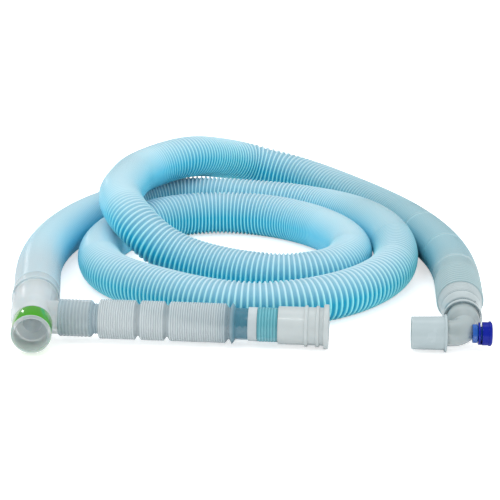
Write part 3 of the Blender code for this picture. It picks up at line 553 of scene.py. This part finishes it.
# The hose
def smooth_route(points, start_direction, end_direction):
    """Evenly spaced points of a cubic curve through the route, with both end directions given."""
    points = np.array([tuple(point) for point in points])
    spans = np.linalg.norm(np.diff(points, axis=0), axis=1)
    slopes = np.diff(points, axis=0) / spans[:, None]
    size = len(points)
    matrix = np.zeros((size, size))
    change = np.zeros((size, 3))
    matrix[0, :2] = (2 * spans[0], spans[0])
    change[0] = 6 * (slopes[0] - np.array(start_direction))
    matrix[-1, -2:] = (spans[-1], 2 * spans[-1])
    change[-1] = 6 * (np.array(end_direction) - slopes[-1])
    for i in range(1, size - 1):
        matrix[i, i - 1:i + 2] = (spans[i - 1], 2 * (spans[i - 1] + spans[i]), spans[i])
        change[i] = 6 * (slopes[i] - slopes[i - 1])
    bends = np.linalg.solve(matrix, change)
    knots = np.concatenate(([0.0], np.cumsum(spans)))
    places = np.linspace(0.0, knots[-1], CURVE_POINTS)
    i = np.clip(np.searchsorted(knots, places) - 1, 0, size - 2)
    before = (places - knots[i])[:, None]
    after = (knots[i + 1] - places)[:, None]
    span = spans[i][:, None]
    route = (
        (bends[i] * after ** 3 + bends[i + 1] * before ** 3) / (6 * span)
        + (points[i] / span - bends[i] * span / 6) * after
        + (points[i + 1] / span - bends[i + 1] * span / 6) * before
    )
    route[:, 2] = np.maximum(route[:, 2], HOSE_RADIUS)
    run = np.concatenate(([0.0], np.cumsum(np.linalg.norm(np.diff(route, axis=0), axis=1))))
    even = np.linspace(0.0, run[-1], LINE_POINTS)
    return np.stack([np.interp(even, run, route[:, axis]) for axis in range(3)], axis=1), even


def frames_along(centres):
    """Two directions across the path at each centre, carried along it without twisting."""
    tangents = np.gradient(centres, axis=0)
    tangents /= np.linalg.norm(tangents, axis=1)[:, None]
    across = np.zeros_like(centres)
    side = np.array((0.0, 0.0, 1.0))
    for i, tangent in enumerate(tangents):
        side = side - tangent * side.dot(tangent)
        side = side / np.linalg.norm(side)
        across[i] = side
    return across, np.cross(tangents, across)


def hose_rings(length):
    """Each ring's distance along the hose, radius, rib height share and opening share."""
    places, pitches = zip(*RIB_STATES)
    rings = []
    at = 0.0
    while at < length - RIB_CLOSED_PITCH:
        pitch = float(np.interp(at, places, pitches))
        opening = min(max((pitch - RIB_CLOSED_PITCH) / (RIB_OPEN_PITCH - RIB_CLOSED_PITCH), 0.0), 1.0)
        radius = RIB_CLOSED_RADIUS + (RIB_OPEN_RADIUS - RIB_CLOSED_RADIUS) * opening
        depth = RIB_CLOSED_DEPTH + (RIB_OPEN_DEPTH - RIB_CLOSED_DEPTH) * opening
        if any(abs(at - middle) < HOSE_COLLAR_WIDTH / 2 for middle in HOSE_COLLARS):
            shape = COLLAR_SHAPE
            pitch = HOSE_COLLAR_WIDTH
            depth = COLLAR_DEPTH
        elif opening > RIB_SHAPED_FROM:
            shape = RIB_SHAPE
        else:
            shape = RIB_PLAIN_SHAPE
        for share, height in shape:
            rings.append((at + share * pitch, radius - depth * (1.0 - height), max(height, 0.0), opening))
        at += pitch
    return np.array(rings)


def new_piece(name, mesh, material, replaced):
    """A finished piece on the object's one body, in place of a CAD node."""
    piece = bpy.data.objects.new(name, mesh)
    bpy.context.scene.collection.objects.link(piece)
    mesh.materials.append(material)
    mesh.shade_smooth()
    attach(piece, "root")
    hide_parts(replaced)
    return piece


def make_hose():
    start = MANIFOLD_CENTRE + BARREL_AXIS * (CUFF_END + GAP) * MM
    end = ELBOW_CENTRE + ELBOW_BRANCH_AXIS * (PATIENT_CUFF_END + GAP) * MM
    route = [start] + [Vector(point) + LAYOUT_ORIGIN for point in HOSE_ROUTE] + [end]
    line, run = smooth_route(route, BARREL_AXIS, -ELBOW_BRANCH_AXIS)
    across, up = frames_along(line)
    rings = hose_rings(run[-1])
    at = rings[:, 0]
    centre, first, second = (
        np.stack([np.interp(at, run, values[:, axis]) for axis in range(3)], axis=1)
        for values in (line, across, up))
    angles = np.linspace(0.0, 2 * math.pi, HOSE_SIDES, endpoint=False)[None, :, None]
    outwards = first[:, None, :] * np.cos(angles) + second[:, None, :] * np.sin(angles)
    vertices = centre[:, None, :] + rings[:, 1][:, None, None] * outwards
    vertices[..., 2] = np.maximum(vertices[..., 2], 0.0)
    mesh = ring_mesh("corrugated_hose_surface", vertices, closed=False)
    from_end = run[-1] - at
    clear = np.maximum(
        1.0 - ramp(at, CLEAR_START_LENGTH, CLEAR_START_LENGTH + CLEAR_START_FADE),
        1.0 - ramp(from_end, CLEAR_END_LENGTH, CLEAR_END_LENGTH + CLEAR_END_FADE))
    dull = np.interp(at, *zip(*DULL_STATES))
    # The rib height places the film's painted shade in its grooves and painted highlight on its crests
    for name, values in (("rib", rings[:, 2]), ("stretch", rings[:, 3]), ("clear", clear), ("dull", dull)):
        mesh.attributes.new(name, "FLOAT", "POINT").data.foreach_set("value", np.repeat(values, HOSE_SIDES))
    # How far each point faces up, for the film's painted light on top and painted shade on its sides
    mesh.attributes.new("top", "FLOAT", "POINT").data.foreach_set("value", outwards[..., 2].reshape(-1))
    hose = new_piece("corrugated_hose_surface", mesh, hose_film(), "corrugated_hose")


# Turned and swept fittings
def ring_mesh(name, rings, closed):
    """A skin over rings of points. Closed joins the last ring to the first, and open caps both ends."""
    rings = np.array(rings)
    count, sides = rings.shape[:2]
    faces = []
    for ring in range(count if closed else count - 1):
        base = ring * sides
        other_base = ((ring + 1) % count) * sides
        for side in range(sides):
            other = (side + 1) % sides
            faces.append((base + side, base + other, other_base + other, other_base + side))
    if not closed:
        faces.append(tuple(reversed(range(sides))))
        faces.append(tuple((count - 1) * sides + side for side in range(sides)))
    mesh = bpy.data.meshes.new(name)
    mesh.from_pydata(rings.reshape(-1, 3).tolist(), [], faces)
    return mesh


def rounded(profile, radius=FILLET):
    """The profile with its sharp corners turned into small arcs. Its points on the axis stay."""
    points = [Vector(point) for point in profile]
    outline = []
    for i, corner in enumerate(points):
        before = points[i - 1] - corner
        after = points[(i + 1) % len(points)] - corner
        reach = min(radius, before.length * CORNER_SHARE, after.length * CORNER_SHARE)
        straight = math.pi - before.angle(after) < math.radians(STRAIGHT_WITHIN)
        if straight or corner.y == 0.0:
            outline.append(corner)
            continue
        first = corner + before.normalized() * reach
        last = corner + after.normalized() * reach
        for share in ARC_SHARES:
            outline.append(first * (1 - share) ** 2 + corner * 2 * share * (1 - share) + last * share ** 2)
    return outline


def cleaned(mesh):
    """The mesh with its doubled points joined and its faces turned outwards."""
    work = bmesh.new()
    work.from_mesh(mesh)
    bmesh.ops.remove_doubles(work, verts=work.verts, dist=JOINED_WITHIN)
    bmesh.ops.dissolve_degenerate(work, edges=work.edges, dist=DISSOLVED_WITHIN)
    bmesh.ops.recalc_face_normals(work, faces=work.faces)
    work.to_mesh(mesh)
    work.free()
    return mesh


def turned(name, profile, place, sides=TURN_SIDES, fillet=FILLET):
    """The mesh of a closed profile of (distance, radius) turned about its frame's +Z."""
    outline = rounded(profile, fillet)
    angles = np.linspace(0.0, 2 * math.pi, sides, endpoint=False)
    rings = [
        [place @ Vector((radius * math.cos(angle) * MM, radius * math.sin(angle) * MM, distance * MM))
         for angle in angles]
        for distance, radius in outline
    ]
    return cleaned(ring_mesh(name, rings, closed=True))


def blended(start, end, steps):
    """Points from start to end, (distance, radius) each, with a smooth S-shaped change of radius."""
    return [
        (start[0] + (end[0] - start[0]) * share,
         start[1] + (end[1] - start[1]) * float(ramp(share, 0.0, 1.0)))
        for share in np.linspace(0.0, 1.0, steps + 1)
    ]


def combined(mesh, tools):
    """The mesh after Booleans with tool meshes: (mesh, operation) each."""
    target = bpy.data.objects.new("work", mesh)
    bpy.context.scene.collection.objects.link(target)
    helpers = []
    for tool_mesh, operation in tools:
        helper = bpy.data.objects.new("helper", tool_mesh)
        bpy.context.scene.collection.objects.link(helper)
        helpers.append(helper)
        boolean = target.modifiers.new("combine", "BOOLEAN")
        boolean.object = helper
        boolean.operation = operation
        boolean.solver = "EXACT"
    result = bpy.data.meshes.new_from_object(target.evaluated_get(bpy.context.evaluated_depsgraph_get()))
    for obj in [target] + helpers:
        bpy.data.objects.remove(obj, do_unlink=True)
    return result


def tube_profile(start, end, radius, bore):
    return [(start, radius), (end, radius), (end, bore), (start, bore)]


def corrugated(start, end, radius, depth, pitch):
    """Rounded rings along a tube, as (distance, radius) points."""
    count = round((end - start) / pitch)
    step = (end - start) / count
    points = [
        (start + i * step + share * step, radius - fall * depth)
        for i in range(count)
        for share, fall in RING_SHAPE
    ]
    return points + [(end, radius - depth)]


def manifold_body_mesh():
    front_bore = RING_SEAT_RADIUS - WALL
    back_bore = SPIGOT_RADIUS - WALL
    profile = [
        (PORT_START, SOCKET_MOUTH_RADIUS), (PORT_START, PORT_LIP_RADIUS),
        (PORT_LIP_END, PORT_LIP_RADIUS), (PORT_LIP_END, RING_SEAT_RADIUS),
        (RING_SEAT_END, RING_SEAT_RADIUS), (RING_SEAT_END, PORT_LIP_RADIUS),
    ]
    profile += blended((SHOULDER_START, PORT_LIP_RADIUS), (BARREL_START, BARREL_RADIUS), SHOULDER_STEPS)
    profile += [
        (BARREL_END, BARREL_RADIUS), (BARREL_END, SPIGOT_RADIUS), (SPIGOT_END, SPIGOT_RADIUS),
        (SPIGOT_END, back_bore), (BARREL_START, back_bore), (SHOULDER_START, front_bore),
        (SOCKET_FLOOR + WALL, front_bore), (PASSAGE_START + WALL, NIPPLE_RADIUS),
        (NIPPLE_END, NIPPLE_RADIUS), (NIPPLE_END, PASSAGE_RADIUS),
        (PASSAGE_START, PASSAGE_RADIUS), (SOCKET_FLOOR, SOCKET_FLOOR_RADIUS),
    ]
    body = turned("manifold_body_surface", profile, BARREL)
    tube = turned("branch", [
        (0.0, 0.0), (0.0, BRANCH_ROOT_RADIUS), (BRANCH_ROOT_END, BRANCH_ROOT_RADIUS),
        (BRANCH_ROOT_END, BRANCH_RADIUS), (BRANCH_END, BRANCH_RADIUS), (BRANCH_END, 0.0)], LIMB)
    core = turned("core", [
        (RING_SEAT_END - WALL / 2, 0.0), (RING_SEAT_END - WALL / 2, front_bore + WALL / 2),
        (SHOULDER_START, front_bore + WALL / 2), (BARREL_START, back_bore + WALL / 2),
        (BARREL_END, back_bore + WALL / 2), (BARREL_END, 0.0)], BARREL)
    bore = turned("bore", [
        (BRANCH_BORE_START, 0.0), (BRANCH_BORE_START, BRANCH_BORE_RADIUS),
        (BRANCH_END + WALL, BRANCH_BORE_RADIUS), (BRANCH_END + WALL, 0.0)], LIMB)
    tube = combined(tube, [(core, "DIFFERENCE")])
    return combined(body, [(tube, "UNION"), (bore, "DIFFERENCE")])


def mark_crests(mesh, place, zones):
    """Write how near each point is to its zone's full height, the mask for a plastic's painted shade in its
    grooves; a zone is (start, end, low radius, height).
    """
    crests = np.zeros(len(mesh.vertices))
    to_place = place.inverted()
    for i, vertex in enumerate(mesh.vertices):
        local = to_place @ vertex.co / MM
        radius = math.hypot(local.x, local.y)
        for start, end, low, height in zones:
            if start <= local.z <= end:
                crests[i] = min(max((radius - low) / height, 0.0), 1.0)
    mesh.attributes.new("crest", "FLOAT", "POINT").data.foreach_set("value", crests)


def limb_mesh():
    """Soft ribbed cuff, neck, three finely toothed stretches with deep folds between them, and a collar."""
    outer = []
    rib = LIMB_START
    while rib + LIMB_CUFF_RIB_PITCH < LIMB_CUFF_END:
        crest = rib + LIMB_CUFF_RIB_PITCH / 2
        outer += [(rib, LIMB_CUFF_RADIUS), (crest, LIMB_CUFF_RADIUS + LIMB_CUFF_RIB_HEIGHT)]
        rib += LIMB_CUFF_RIB_PITCH
    taper_end = LIMB_CUFF_END + LIMB_CUFF_RADIUS - LIMB_NECK_RADIUS
    outer += [(LIMB_CUFF_END, LIMB_CUFF_RADIUS)]
    outer += corrugated(taper_end, LIMB_SECTIONS[0][0], LIMB_NECK_RADIUS, LIMB_TOOTH_DEPTH, LIMB_TOOTH_PITCH)
    folds = [(before[1] + after[0]) / 2 for before, after in zip(LIMB_SECTIONS, LIMB_SECTIONS[1:])]
    folds.append((LIMB_SECTIONS[-1][1] + LIMB_RIDGE_PLACE) / 2)
    for (start, end), fold in zip(LIMB_SECTIONS, folds):
        outer += corrugated(start, end, LIMB_RADIUS, LIMB_TOOTH_DEPTH, LIMB_TOOTH_PITCH)
        outer += [(fold - LIMB_WALL / 2, LIMB_RADIUS - LIMB_FOLD_DEPTH),
                  (fold + LIMB_WALL / 2, LIMB_RADIUS - LIMB_FOLD_DEPTH)]
    outer += [
        (LIMB_RIDGE_PLACE, LIMB_RIDGE_RADIUS), (LIMB_SECOND_NECK_START, LIMB_SECOND_NECK_RADIUS),
        (LIMB_COLLAR_START, LIMB_SECOND_NECK_RADIUS), (LIMB_COLLAR_START, LIMB_COLLAR_RADIUS),
        (LIMB_END, LIMB_COLLAR_RADIUS),
    ]
    cuff_bore = BRANCH_RADIUS + GAP
    section_bore = LIMB_RADIUS - LIMB_TOOTH_DEPTH - LIMB_WALL
    fold_bore = LIMB_RADIUS - LIMB_FOLD_DEPTH - LIMB_WALL
    neck_bore = LIMB_NECK_RADIUS - LIMB_WALL
    inner = [(LIMB_START, cuff_bore), (BRANCH_END + 2 * GAP, cuff_bore), (taper_end, neck_bore),
             (LIMB_SECTIONS[0][0] + LIMB_WALL, neck_bore)]
    for (start, end), fold in zip(LIMB_SECTIONS, folds):
        inner += [(start + LIMB_WALL, section_bore), (end - LIMB_WALL, section_bore), (fold, fold_bore)]
    collar_bore = LIMB_COLLAR_RADIUS - LIMB_WALL
    second_neck_bore = LIMB_SECOND_NECK_RADIUS - LIMB_WALL
    inner += [(LIMB_RIDGE_PLACE, LIMB_RIDGE_RADIUS - 1.5 * LIMB_WALL),
              (LIMB_SECOND_NECK_START - LIMB_WALL, second_neck_bore), (LIMB_COLLAR_START, second_neck_bore),
              (LIMB_COLLAR_START, collar_bore), (LIMB_END, collar_bore)]
    mesh = turned("expandable_limb_surface", outer + inner[::-1], LIMB, fillet=LIMB_FILLET)
    neck_end = LIMB_SECTIONS[0][0] - STEP_ROOM
    ridge_end = LIMB_SECOND_NECK_START - END_ROOM
    second_neck_end = LIMB_COLLAR_START - STEP_ROOM
    mark_crests(mesh, LIMB, (
        (LIMB_START - END_ROOM, LIMB_CUFF_END, LIMB_CUFF_RADIUS, LIMB_CUFF_CREST_HEIGHT),
        (LIMB_CUFF_END, neck_end, LIMB_NECK_RADIUS - LIMB_TOOTH_DEPTH, LIMB_TOOTH_DEPTH),
        (neck_end, ridge_end, LIMB_RADIUS - LIMB_TOOTH_DEPTH, LIMB_TOOTH_DEPTH),
        (ridge_end, second_neck_end, LIMB_SECOND_NECK_RADIUS, LIMB_TOOTH_DEPTH),
        (second_neck_end, LIMB_END + END_ROOM, LIMB_RADIUS / 2, LIMB_TOOTH_DEPTH)))
    to_limb = LIMB.inverted()
    tints = [np.interp((to_limb @ vertex.co).z / MM, *zip(*LIMB_TINTS)) for vertex in mesh.vertices]
    mesh.attributes.new("tint", "FLOAT", "POINT").data.foreach_set("value", tints)
    return mesh


def connector_mesh():
    bore = CONNECTOR_RADIUS - CONNECTOR_WALL
    profile = [
        (BAND_START - CONNECTOR_SPIGOT_LENGTH, CONNECTOR_RADIUS), (BAND_START, CONNECTOR_RADIUS),
        (BAND_START, BAND_RADIUS),
    ]
    profile += corrugated(BAND_START + WALL / 2, BAND_END - WALL / 2, BAND_RADIUS, BAND_DEPTH, BAND_PITCH)
    profile += [
        (BAND_END, BAND_RADIUS), (BAND_END, CONNECTOR_RADIUS),
        (BAND_END + CONNECTOR_SPIGOT_LENGTH, CONNECTOR_RADIUS),
        (BAND_END + CONNECTOR_SPIGOT_LENGTH, bore), (BAND_START - CONNECTOR_SPIGOT_LENGTH, bore),
    ]
    mesh = turned("limb_connector_surface", profile, LIMB, fillet=BAND_FILLET)
    mark_crests(mesh, LIMB, (
        (BAND_START - STEP_ROOM, BAND_END + STEP_ROOM, BAND_RADIUS - BAND_DEPTH, BAND_DEPTH),))
    return mesh


def end_cuff_mesh():
    flange = END_CUFF_END - END_CUFF_FLANGE_LENGTH
    seat_bore = CONNECTOR_RADIUS + GAP
    stop_bore = CONNECTOR_RADIUS - CONNECTOR_WALL
    stop = END_CUFF_START + CONNECTOR_SPIGOT_LENGTH
    profile = [(END_CUFF_START, END_CUFF_RADIUS)]
    for place in END_CUFF_RIB_PLACES:
        rib = END_CUFF_START + place
        profile += [
            (rib, END_CUFF_RADIUS), (rib, END_CUFF_RADIUS + END_CUFF_RIB_HEIGHT),
            (rib + END_CUFF_RIB_LENGTH, END_CUFF_RADIUS + END_CUFF_RIB_HEIGHT),
            (rib + END_CUFF_RIB_LENGTH, END_CUFF_RADIUS),
        ]
    profile += [
        (flange, END_CUFF_RADIUS), (flange, END_CUFF_FLANGE_RADIUS), (END_CUFF_END, END_CUFF_FLANGE_RADIUS),
        (END_CUFF_END, END_CUFF_MOUTH_RADIUS), (END_CUFF_END - END_CUFF_BORE_DEPTH, END_CUFF_BORE_RADIUS),
        (stop + 2 * LIMB_WALL, stop_bore), (stop, stop_bore), (stop, seat_bore), (END_CUFF_START, seat_bore),
    ]
    return turned("limb_end_cuff_surface", profile, LIMB, fillet=END_CUFF_FILLET)


def sleeve_mesh():
    inner_radius = SLEEVE_BORE_RADIUS + SLEEVE_WALL
    outer_bore = SLEEVE_TIP_RADIUS - SLEEVE_WALL
    seat_end = ELBOW_LEG_END + GAP
    profile = [
        (SLEEVE_FLANGE_START, SLEEVE_FLANGE_RADIUS), (SLEEVE_FLANGE_END, SLEEVE_FLANGE_RADIUS),
        (SLEEVE_FLANGE_END, SLEEVE_ROOT_RADIUS), (SLEEVE_END, SLEEVE_TIP_RADIUS), (SLEEVE_END, outer_bore),
        (SLEEVE_WEB_END, outer_bore), (SLEEVE_WEB_END, inner_radius), (SLEEVE_INNER_END, inner_radius),
        (SLEEVE_INNER_END, SLEEVE_BORE_RADIUS), (seat_end, SLEEVE_BORE_RADIUS),
        (seat_end, ELBOW_RADIUS + GAP), (SLEEVE_FLANGE_START, ELBOW_RADIUS + GAP),
    ]
    return turned("patient_sleeve_surface", profile, SLEEVE)


def elbow_cuff_mesh():
    bore = ELBOW_CONE_RADIUS + GAP
    lip_fall = PATIENT_CUFF_LIP_RADIUS - PATIENT_CUFF_WAIST_RADIUS
    profile = [
        (PATIENT_CUFF_START, PATIENT_CUFF_LIP_RADIUS), (PATIENT_CUFF_LIP_END, PATIENT_CUFF_LIP_RADIUS),
        (PATIENT_CUFF_LIP_END + lip_fall, PATIENT_CUFF_WAIST_RADIUS),
    ]
    profile += blended(
        (PATIENT_CUFF_WAIST_PLACE, PATIENT_CUFF_WAIST_RADIUS),
        (PATIENT_CUFF_SHOULDER_PLACE, PATIENT_CUFF_SHOULDER_RADIUS), PATIENT_CUFF_SHOULDER_STEPS)
    pleat = (PATIENT_CUFF_END - PATIENT_CUFF_SHOULDER_PLACE) / PATIENT_CUFF_PLEATS
    growth = (PATIENT_CUFF_END_RADIUS - PATIENT_CUFF_SHOULDER_RADIUS) / PATIENT_CUFF_PLEATS
    for i in range(PATIENT_CUFF_PLEATS):
        place = PATIENT_CUFF_SHOULDER_PLACE + i * pleat
        radius = PATIENT_CUFF_SHOULDER_RADIUS + i * growth
        profile += [
            (place + PATIENT_CUFF_VALLEY_SHARE * pleat, radius - PATIENT_CUFF_PLEAT_DEPTH),
            (place + PATIENT_CUFF_CREST_SHARE * pleat, radius + growth),
        ]
    profile += [
        (PATIENT_CUFF_END, PATIENT_CUFF_END_RADIUS),
        (PATIENT_CUFF_END, PATIENT_CUFF_END_RADIUS - SLEEVE_WALL),
        (PATIENT_CUFF_SHOULDER_PLACE, PATIENT_CUFF_SHOULDER_RADIUS - SLEEVE_WALL),
        (ELBOW_CONE_END + GAP, bore), (PATIENT_CUFF_START, bore),
    ]
    mesh = turned("elbow_cuff_surface", profile, ELBOW_BRANCH)
    mark_crests(mesh, ELBOW_BRANCH, (
        (PATIENT_CUFF_START - END_ROOM, PATIENT_CUFF_WAIST_PLACE, PATIENT_CUFF_WAIST_RADIUS, lip_fall),
        (PATIENT_CUFF_WAIST_PLACE, PATIENT_CUFF_SHOULDER_PLACE, bore, PATIENT_CUFF_PLEAT_DEPTH),
        (PATIENT_CUFF_SHOULDER_PLACE, PATIENT_CUFF_END + END_ROOM,
         PATIENT_CUFF_SHOULDER_RADIUS - PATIENT_CUFF_PLEAT_DEPTH, PATIENT_CUFF_PLEAT_DEPTH)))
    return mesh


def elbow_rings(radius, cone_start, cone_radius, cone_end_radius):
    """Rings along the elbow: in along the sleeve's axis, round the bend and out through the cone."""
    centres = [(-ELBOW_LEG_END, 0.0, 90.0, radius)]
    for turn in np.linspace(0.0, 90.0, ELBOW_BEND_STEPS + 1):
        centres.append((
            ELBOW_BEND_RADIUS * (math.sin(math.radians(turn)) - 1.0),
            ELBOW_BEND_RADIUS * (1.0 - math.cos(math.radians(turn))),
            90.0 - turn, radius))
    for distance, ring_radius in ((ELBOW_FLARE_START, radius), (cone_start, cone_radius),
                                  (ELBOW_CONE_END, cone_end_radius)):
        centres.append((0.0, distance, 0.0, ring_radius))
    rings = []
    for x, y, heading, ring_radius in centres:
        across = Vector((math.cos(math.radians(heading)), -math.sin(math.radians(heading)), 0.0))
        rings.append([
            ELBOW @ (Vector((x, y, 0.0)) * MM + (
                across * math.cos(angle) + Vector((0.0, 0.0, 1.0)) * math.sin(angle)) * ring_radius * MM)
            for angle in np.linspace(0.0, 2 * math.pi, TURN_SIDES, endpoint=False)])
    return rings


def elbow_body_mesh():
    outer = elbow_rings(ELBOW_RADIUS, ELBOW_CONE_START, ELBOW_CONE_RADIUS, ELBOW_CONE_END_RADIUS)
    bore_flare_end = ELBOW_CONE_START + ELBOW_CONE_BORE_RADIUS - ELBOW_BORE_RADIUS
    inner = elbow_rings(ELBOW_BORE_RADIUS, bore_flare_end, ELBOW_CONE_BORE_RADIUS, ELBOW_CONE_BORE_RADIUS)
    return cleaned(ring_mesh("elbow_body_surface", outer + inner[::-1], closed=True))


def sampling_port_mesh():
    profile = [
        (PORT_BASE_START, PORT_BORE_RADIUS), (PORT_BASE_START, PORT_BASE_RADIUS),
        (PORT_BASE_END, PORT_BASE_RADIUS), (PORT_BASE_END, PORT_NECK_RADIUS),
        (PORT_NECK_END, PORT_NECK_RADIUS), (PORT_NECK_END, PORT_BORE_RADIUS),
    ]
    return turned("sampling_port_surface", profile, SAMPLING)


def sampling_cap_mesh():
    """The cap, joined to its retaining ring by a strap."""
    bore = PORT_NECK_RADIUS + GAP
    floor = PORT_NECK_END + GAP
    ring_start = PORT_BASE_END + GAP
    ring = tube_profile(ring_start, ring_start + CAP_RING_LENGTH, CAP_RING_RADIUS, bore)
    cap = turned("sampling_cap_surface", [
        (CAP_START, bore), (CAP_START, CAP_RADIUS), (CAP_RIM_START, CAP_RADIUS),
        (CAP_RIM_START, CAP_RIM_RADIUS), (CAP_RIM_END, CAP_RIM_RADIUS), (CAP_RIM_END, CAP_RADIUS),
        (CAP_END, CAP_RADIUS - (CAP_RIM_RADIUS - CAP_RADIUS)), (CAP_END, 0.0), (floor, 0.0), (floor, bore)],
        SAMPLING)
    block = bmesh.new()
    bmesh.ops.create_cube(block, size=1.0)
    bmesh.ops.transform(
        block, verts=block.verts,
        matrix=SAMPLING @ Matrix.Translation(Vector(CAP_STRAP_PLACE) * MM)
        @ Matrix.Diagonal((*(Vector(CAP_STRAP_SIZE) * MM), 1.0)))
    bmesh.ops.bevel(block, geom=block.edges, offset=FILLET * MM / 2, segments=2, affect="EDGES")
    strap = bpy.data.meshes.new("strap")
    block.to_mesh(strap)
    block.free()
    return combined(cap, [(turned("ring", ring, SAMPLING), "UNION"), (strap, "UNION")])


def inner_hose_mesh(name, start, end, radius, bore, place):
    outer = corrugated(start, end, radius, INNER_HOSE_DEPTH, INNER_HOSE_PITCH)
    return turned(name, outer + [(end, bore), (start, bore)], place)


def make_fittings():
    made = {name: plastic(name, **look) for name, look in PLASTICS.items()}
    inner_end = inner_hose_mesh(
        "inner_hose_manifold_surface", INNER_HOSE_START, CUFF_END, INNER_HOSE_RADIUS,
        INNER_HOSE_BORE, BARREL)
    free_end = inner_hose_mesh(
        "inner_hose_patient_surface", INNER_HOSE_FREE_START, PATIENT_CUFF_END, INNER_HOSE_FREE_RADIUS,
        INNER_HOSE_FREE_BORE, ELBOW_BRANCH)
    cuff_start = BARREL_END + GAP
    cuff_profile = [
        (cuff_start, CUFF_LIP_RADIUS), (cuff_start + CUFF_LIP_LENGTH, CUFF_LIP_RADIUS),
        (cuff_start + CUFF_LIP_LENGTH, CUFF_RADIUS), (CUFF_END, CUFF_RADIUS),
        (CUFF_END, SPIGOT_RADIUS + GAP), (cuff_start, SPIGOT_RADIUS + GAP),
    ]
    ring_profile = tube_profile(
        PORT_LIP_END + GAP, RING_SEAT_END - GAP, RING_RADIUS, RING_SEAT_RADIUS + GAP)
    port_ring = turned("port_ring_surface", ring_profile, BARREL, fillet=RING_FILLET)
    manifold_cuff = turned("manifold_cuff_surface", cuff_profile, BARREL)
    pieces = (
        (manifold_body_mesh(), "clear_moulded", "clear", "manifold_body"),
        (port_ring, "green_band", "green", "port_ring"),
        (manifold_cuff, "soft_clear", "soft_clear", "manifold_cuff"),
        (inner_end, "inner_hose_film", "inner_hose", "inner_hose_manifold_end"),
        (limb_mesh(), "limb_clear", "soft_clear", "expandable_limb"),
        (connector_mesh(), "teal_band", "teal", "limb_connector"),
        (end_cuff_mesh(), "white_moulded", "white", "limb_end_cuff"),
        (elbow_body_mesh(), "elbow_clear", "clear", "elbow_body"),
        (sleeve_mesh(), "sleeve_moulded", "white", "patient_sleeve"),
        (elbow_cuff_mesh(), "pleated_clear", "soft_clear", "elbow_cuff"),
        (free_end, "inner_hose_film", "inner_hose", "inner_hose_patient_end"),
        (sampling_port_mesh(), "port_blue", "light_blue", "sampling_port"),
        (sampling_cap_mesh(), "cap_blue", "dark_blue", "sampling_cap"),
    )
    # Each piece: its mesh, its plastic, its slot, and the node that it takes the place of
    for mesh, look, slot, node in pieces:
        new_piece(node + "_surface", mesh, made[look], node)


# The set
def make_camera():
    down = math.radians(CAMERA_DOWN)
    back = Vector((0.0, -math.cos(down), math.sin(down))) * CAMERA_DISTANCE
    data = bpy.data.cameras.new("camera")
    data.lens = CAMERA_LENS
    data.sensor_width = CAMERA_SENSOR
    camera = bpy.data.objects.new("camera", data)
    camera.location = LAYOUT_ORIGIN + back
    camera.rotation_euler = (math.radians(90.0 - CAMERA_DOWN), 0.0, 0.0)
    bpy.context.scene.collection.objects.link(camera)
    bpy.context.scene.camera = camera


def area_light(name, place, target, size, power):
    data = bpy.data.lights.new(name, "AREA")
    data.shape = "RECTANGLE"
    data.size = size[0]
    data.size_y = size[1]
    data.energy = power
    light = bpy.data.objects.new(name, data)
    light.location = place
    light.rotation_euler = (Vector(target) - Vector(place)).to_track_quat("-Z", "Y").to_euler()
    bpy.context.scene.collection.objects.link(light)


def make_world():
    world = bpy.data.worlds.new("studio")
    world.use_nodes = True
    nodes = world.node_tree.nodes
    links = world.node_tree.links
    background = nodes["Background"]
    background.inputs["Color"].default_value = (1.0, 1.0, 1.0, 1.0)
    path = nodes.new("ShaderNodeLightPath")
    strength = mapped(nodes, links, path.outputs["Is Glossy Ray"], WORLD_LIGHT, WORLD_IN_REFLECTIONS)
    links.new(strength, background.inputs["Strength"])
    bpy.context.scene.world = world


def make_floor():
    mesh = bpy.data.meshes.new("floor")
    sheet = bmesh.new()
    bmesh.ops.create_grid(sheet, x_segments=1, y_segments=1, size=FLOOR_SIZE)
    sheet.to_mesh(mesh)
    sheet.free()
    floor = bpy.data.objects.new("floor", mesh)
    bpy.context.scene.collection.objects.link(floor)
    material = bpy.data.materials.new("white_floor")
    material.use_nodes = True
    nodes = material.node_tree.nodes
    links = material.node_tree.links
    shader = shader_of(material)
    shader.inputs["Base Color"].default_value = (*FLOOR_COLOUR, 1.0)
    shader.inputs["Roughness"].default_value = FLOOR_ROUGHNESS
    shader.inputs["Specular IOR Level"].default_value = 0.0
    shader.inputs["Emission Color"].default_value = (1.0, 1.0, 1.0, 1.0)
    path = nodes.new("ShaderNodeLightPath")
    glow = mapped(nodes, links, path.outputs["Is Camera Ray"], 0.0, FLOOR_GLOW)
    links.new(glow, shader.inputs["Emission Strength"])
    mesh.materials.append(material)


def make_set():
    make_world()
    make_floor()
    for name, (place, size, power) in LAMPS.items():
        area_light(name, place, LAMP_TARGET, size, power)
    bpy.context.scene.view_settings.view_transform = "Standard"


make_camera()
make_set()
make_hose()
make_fittings()
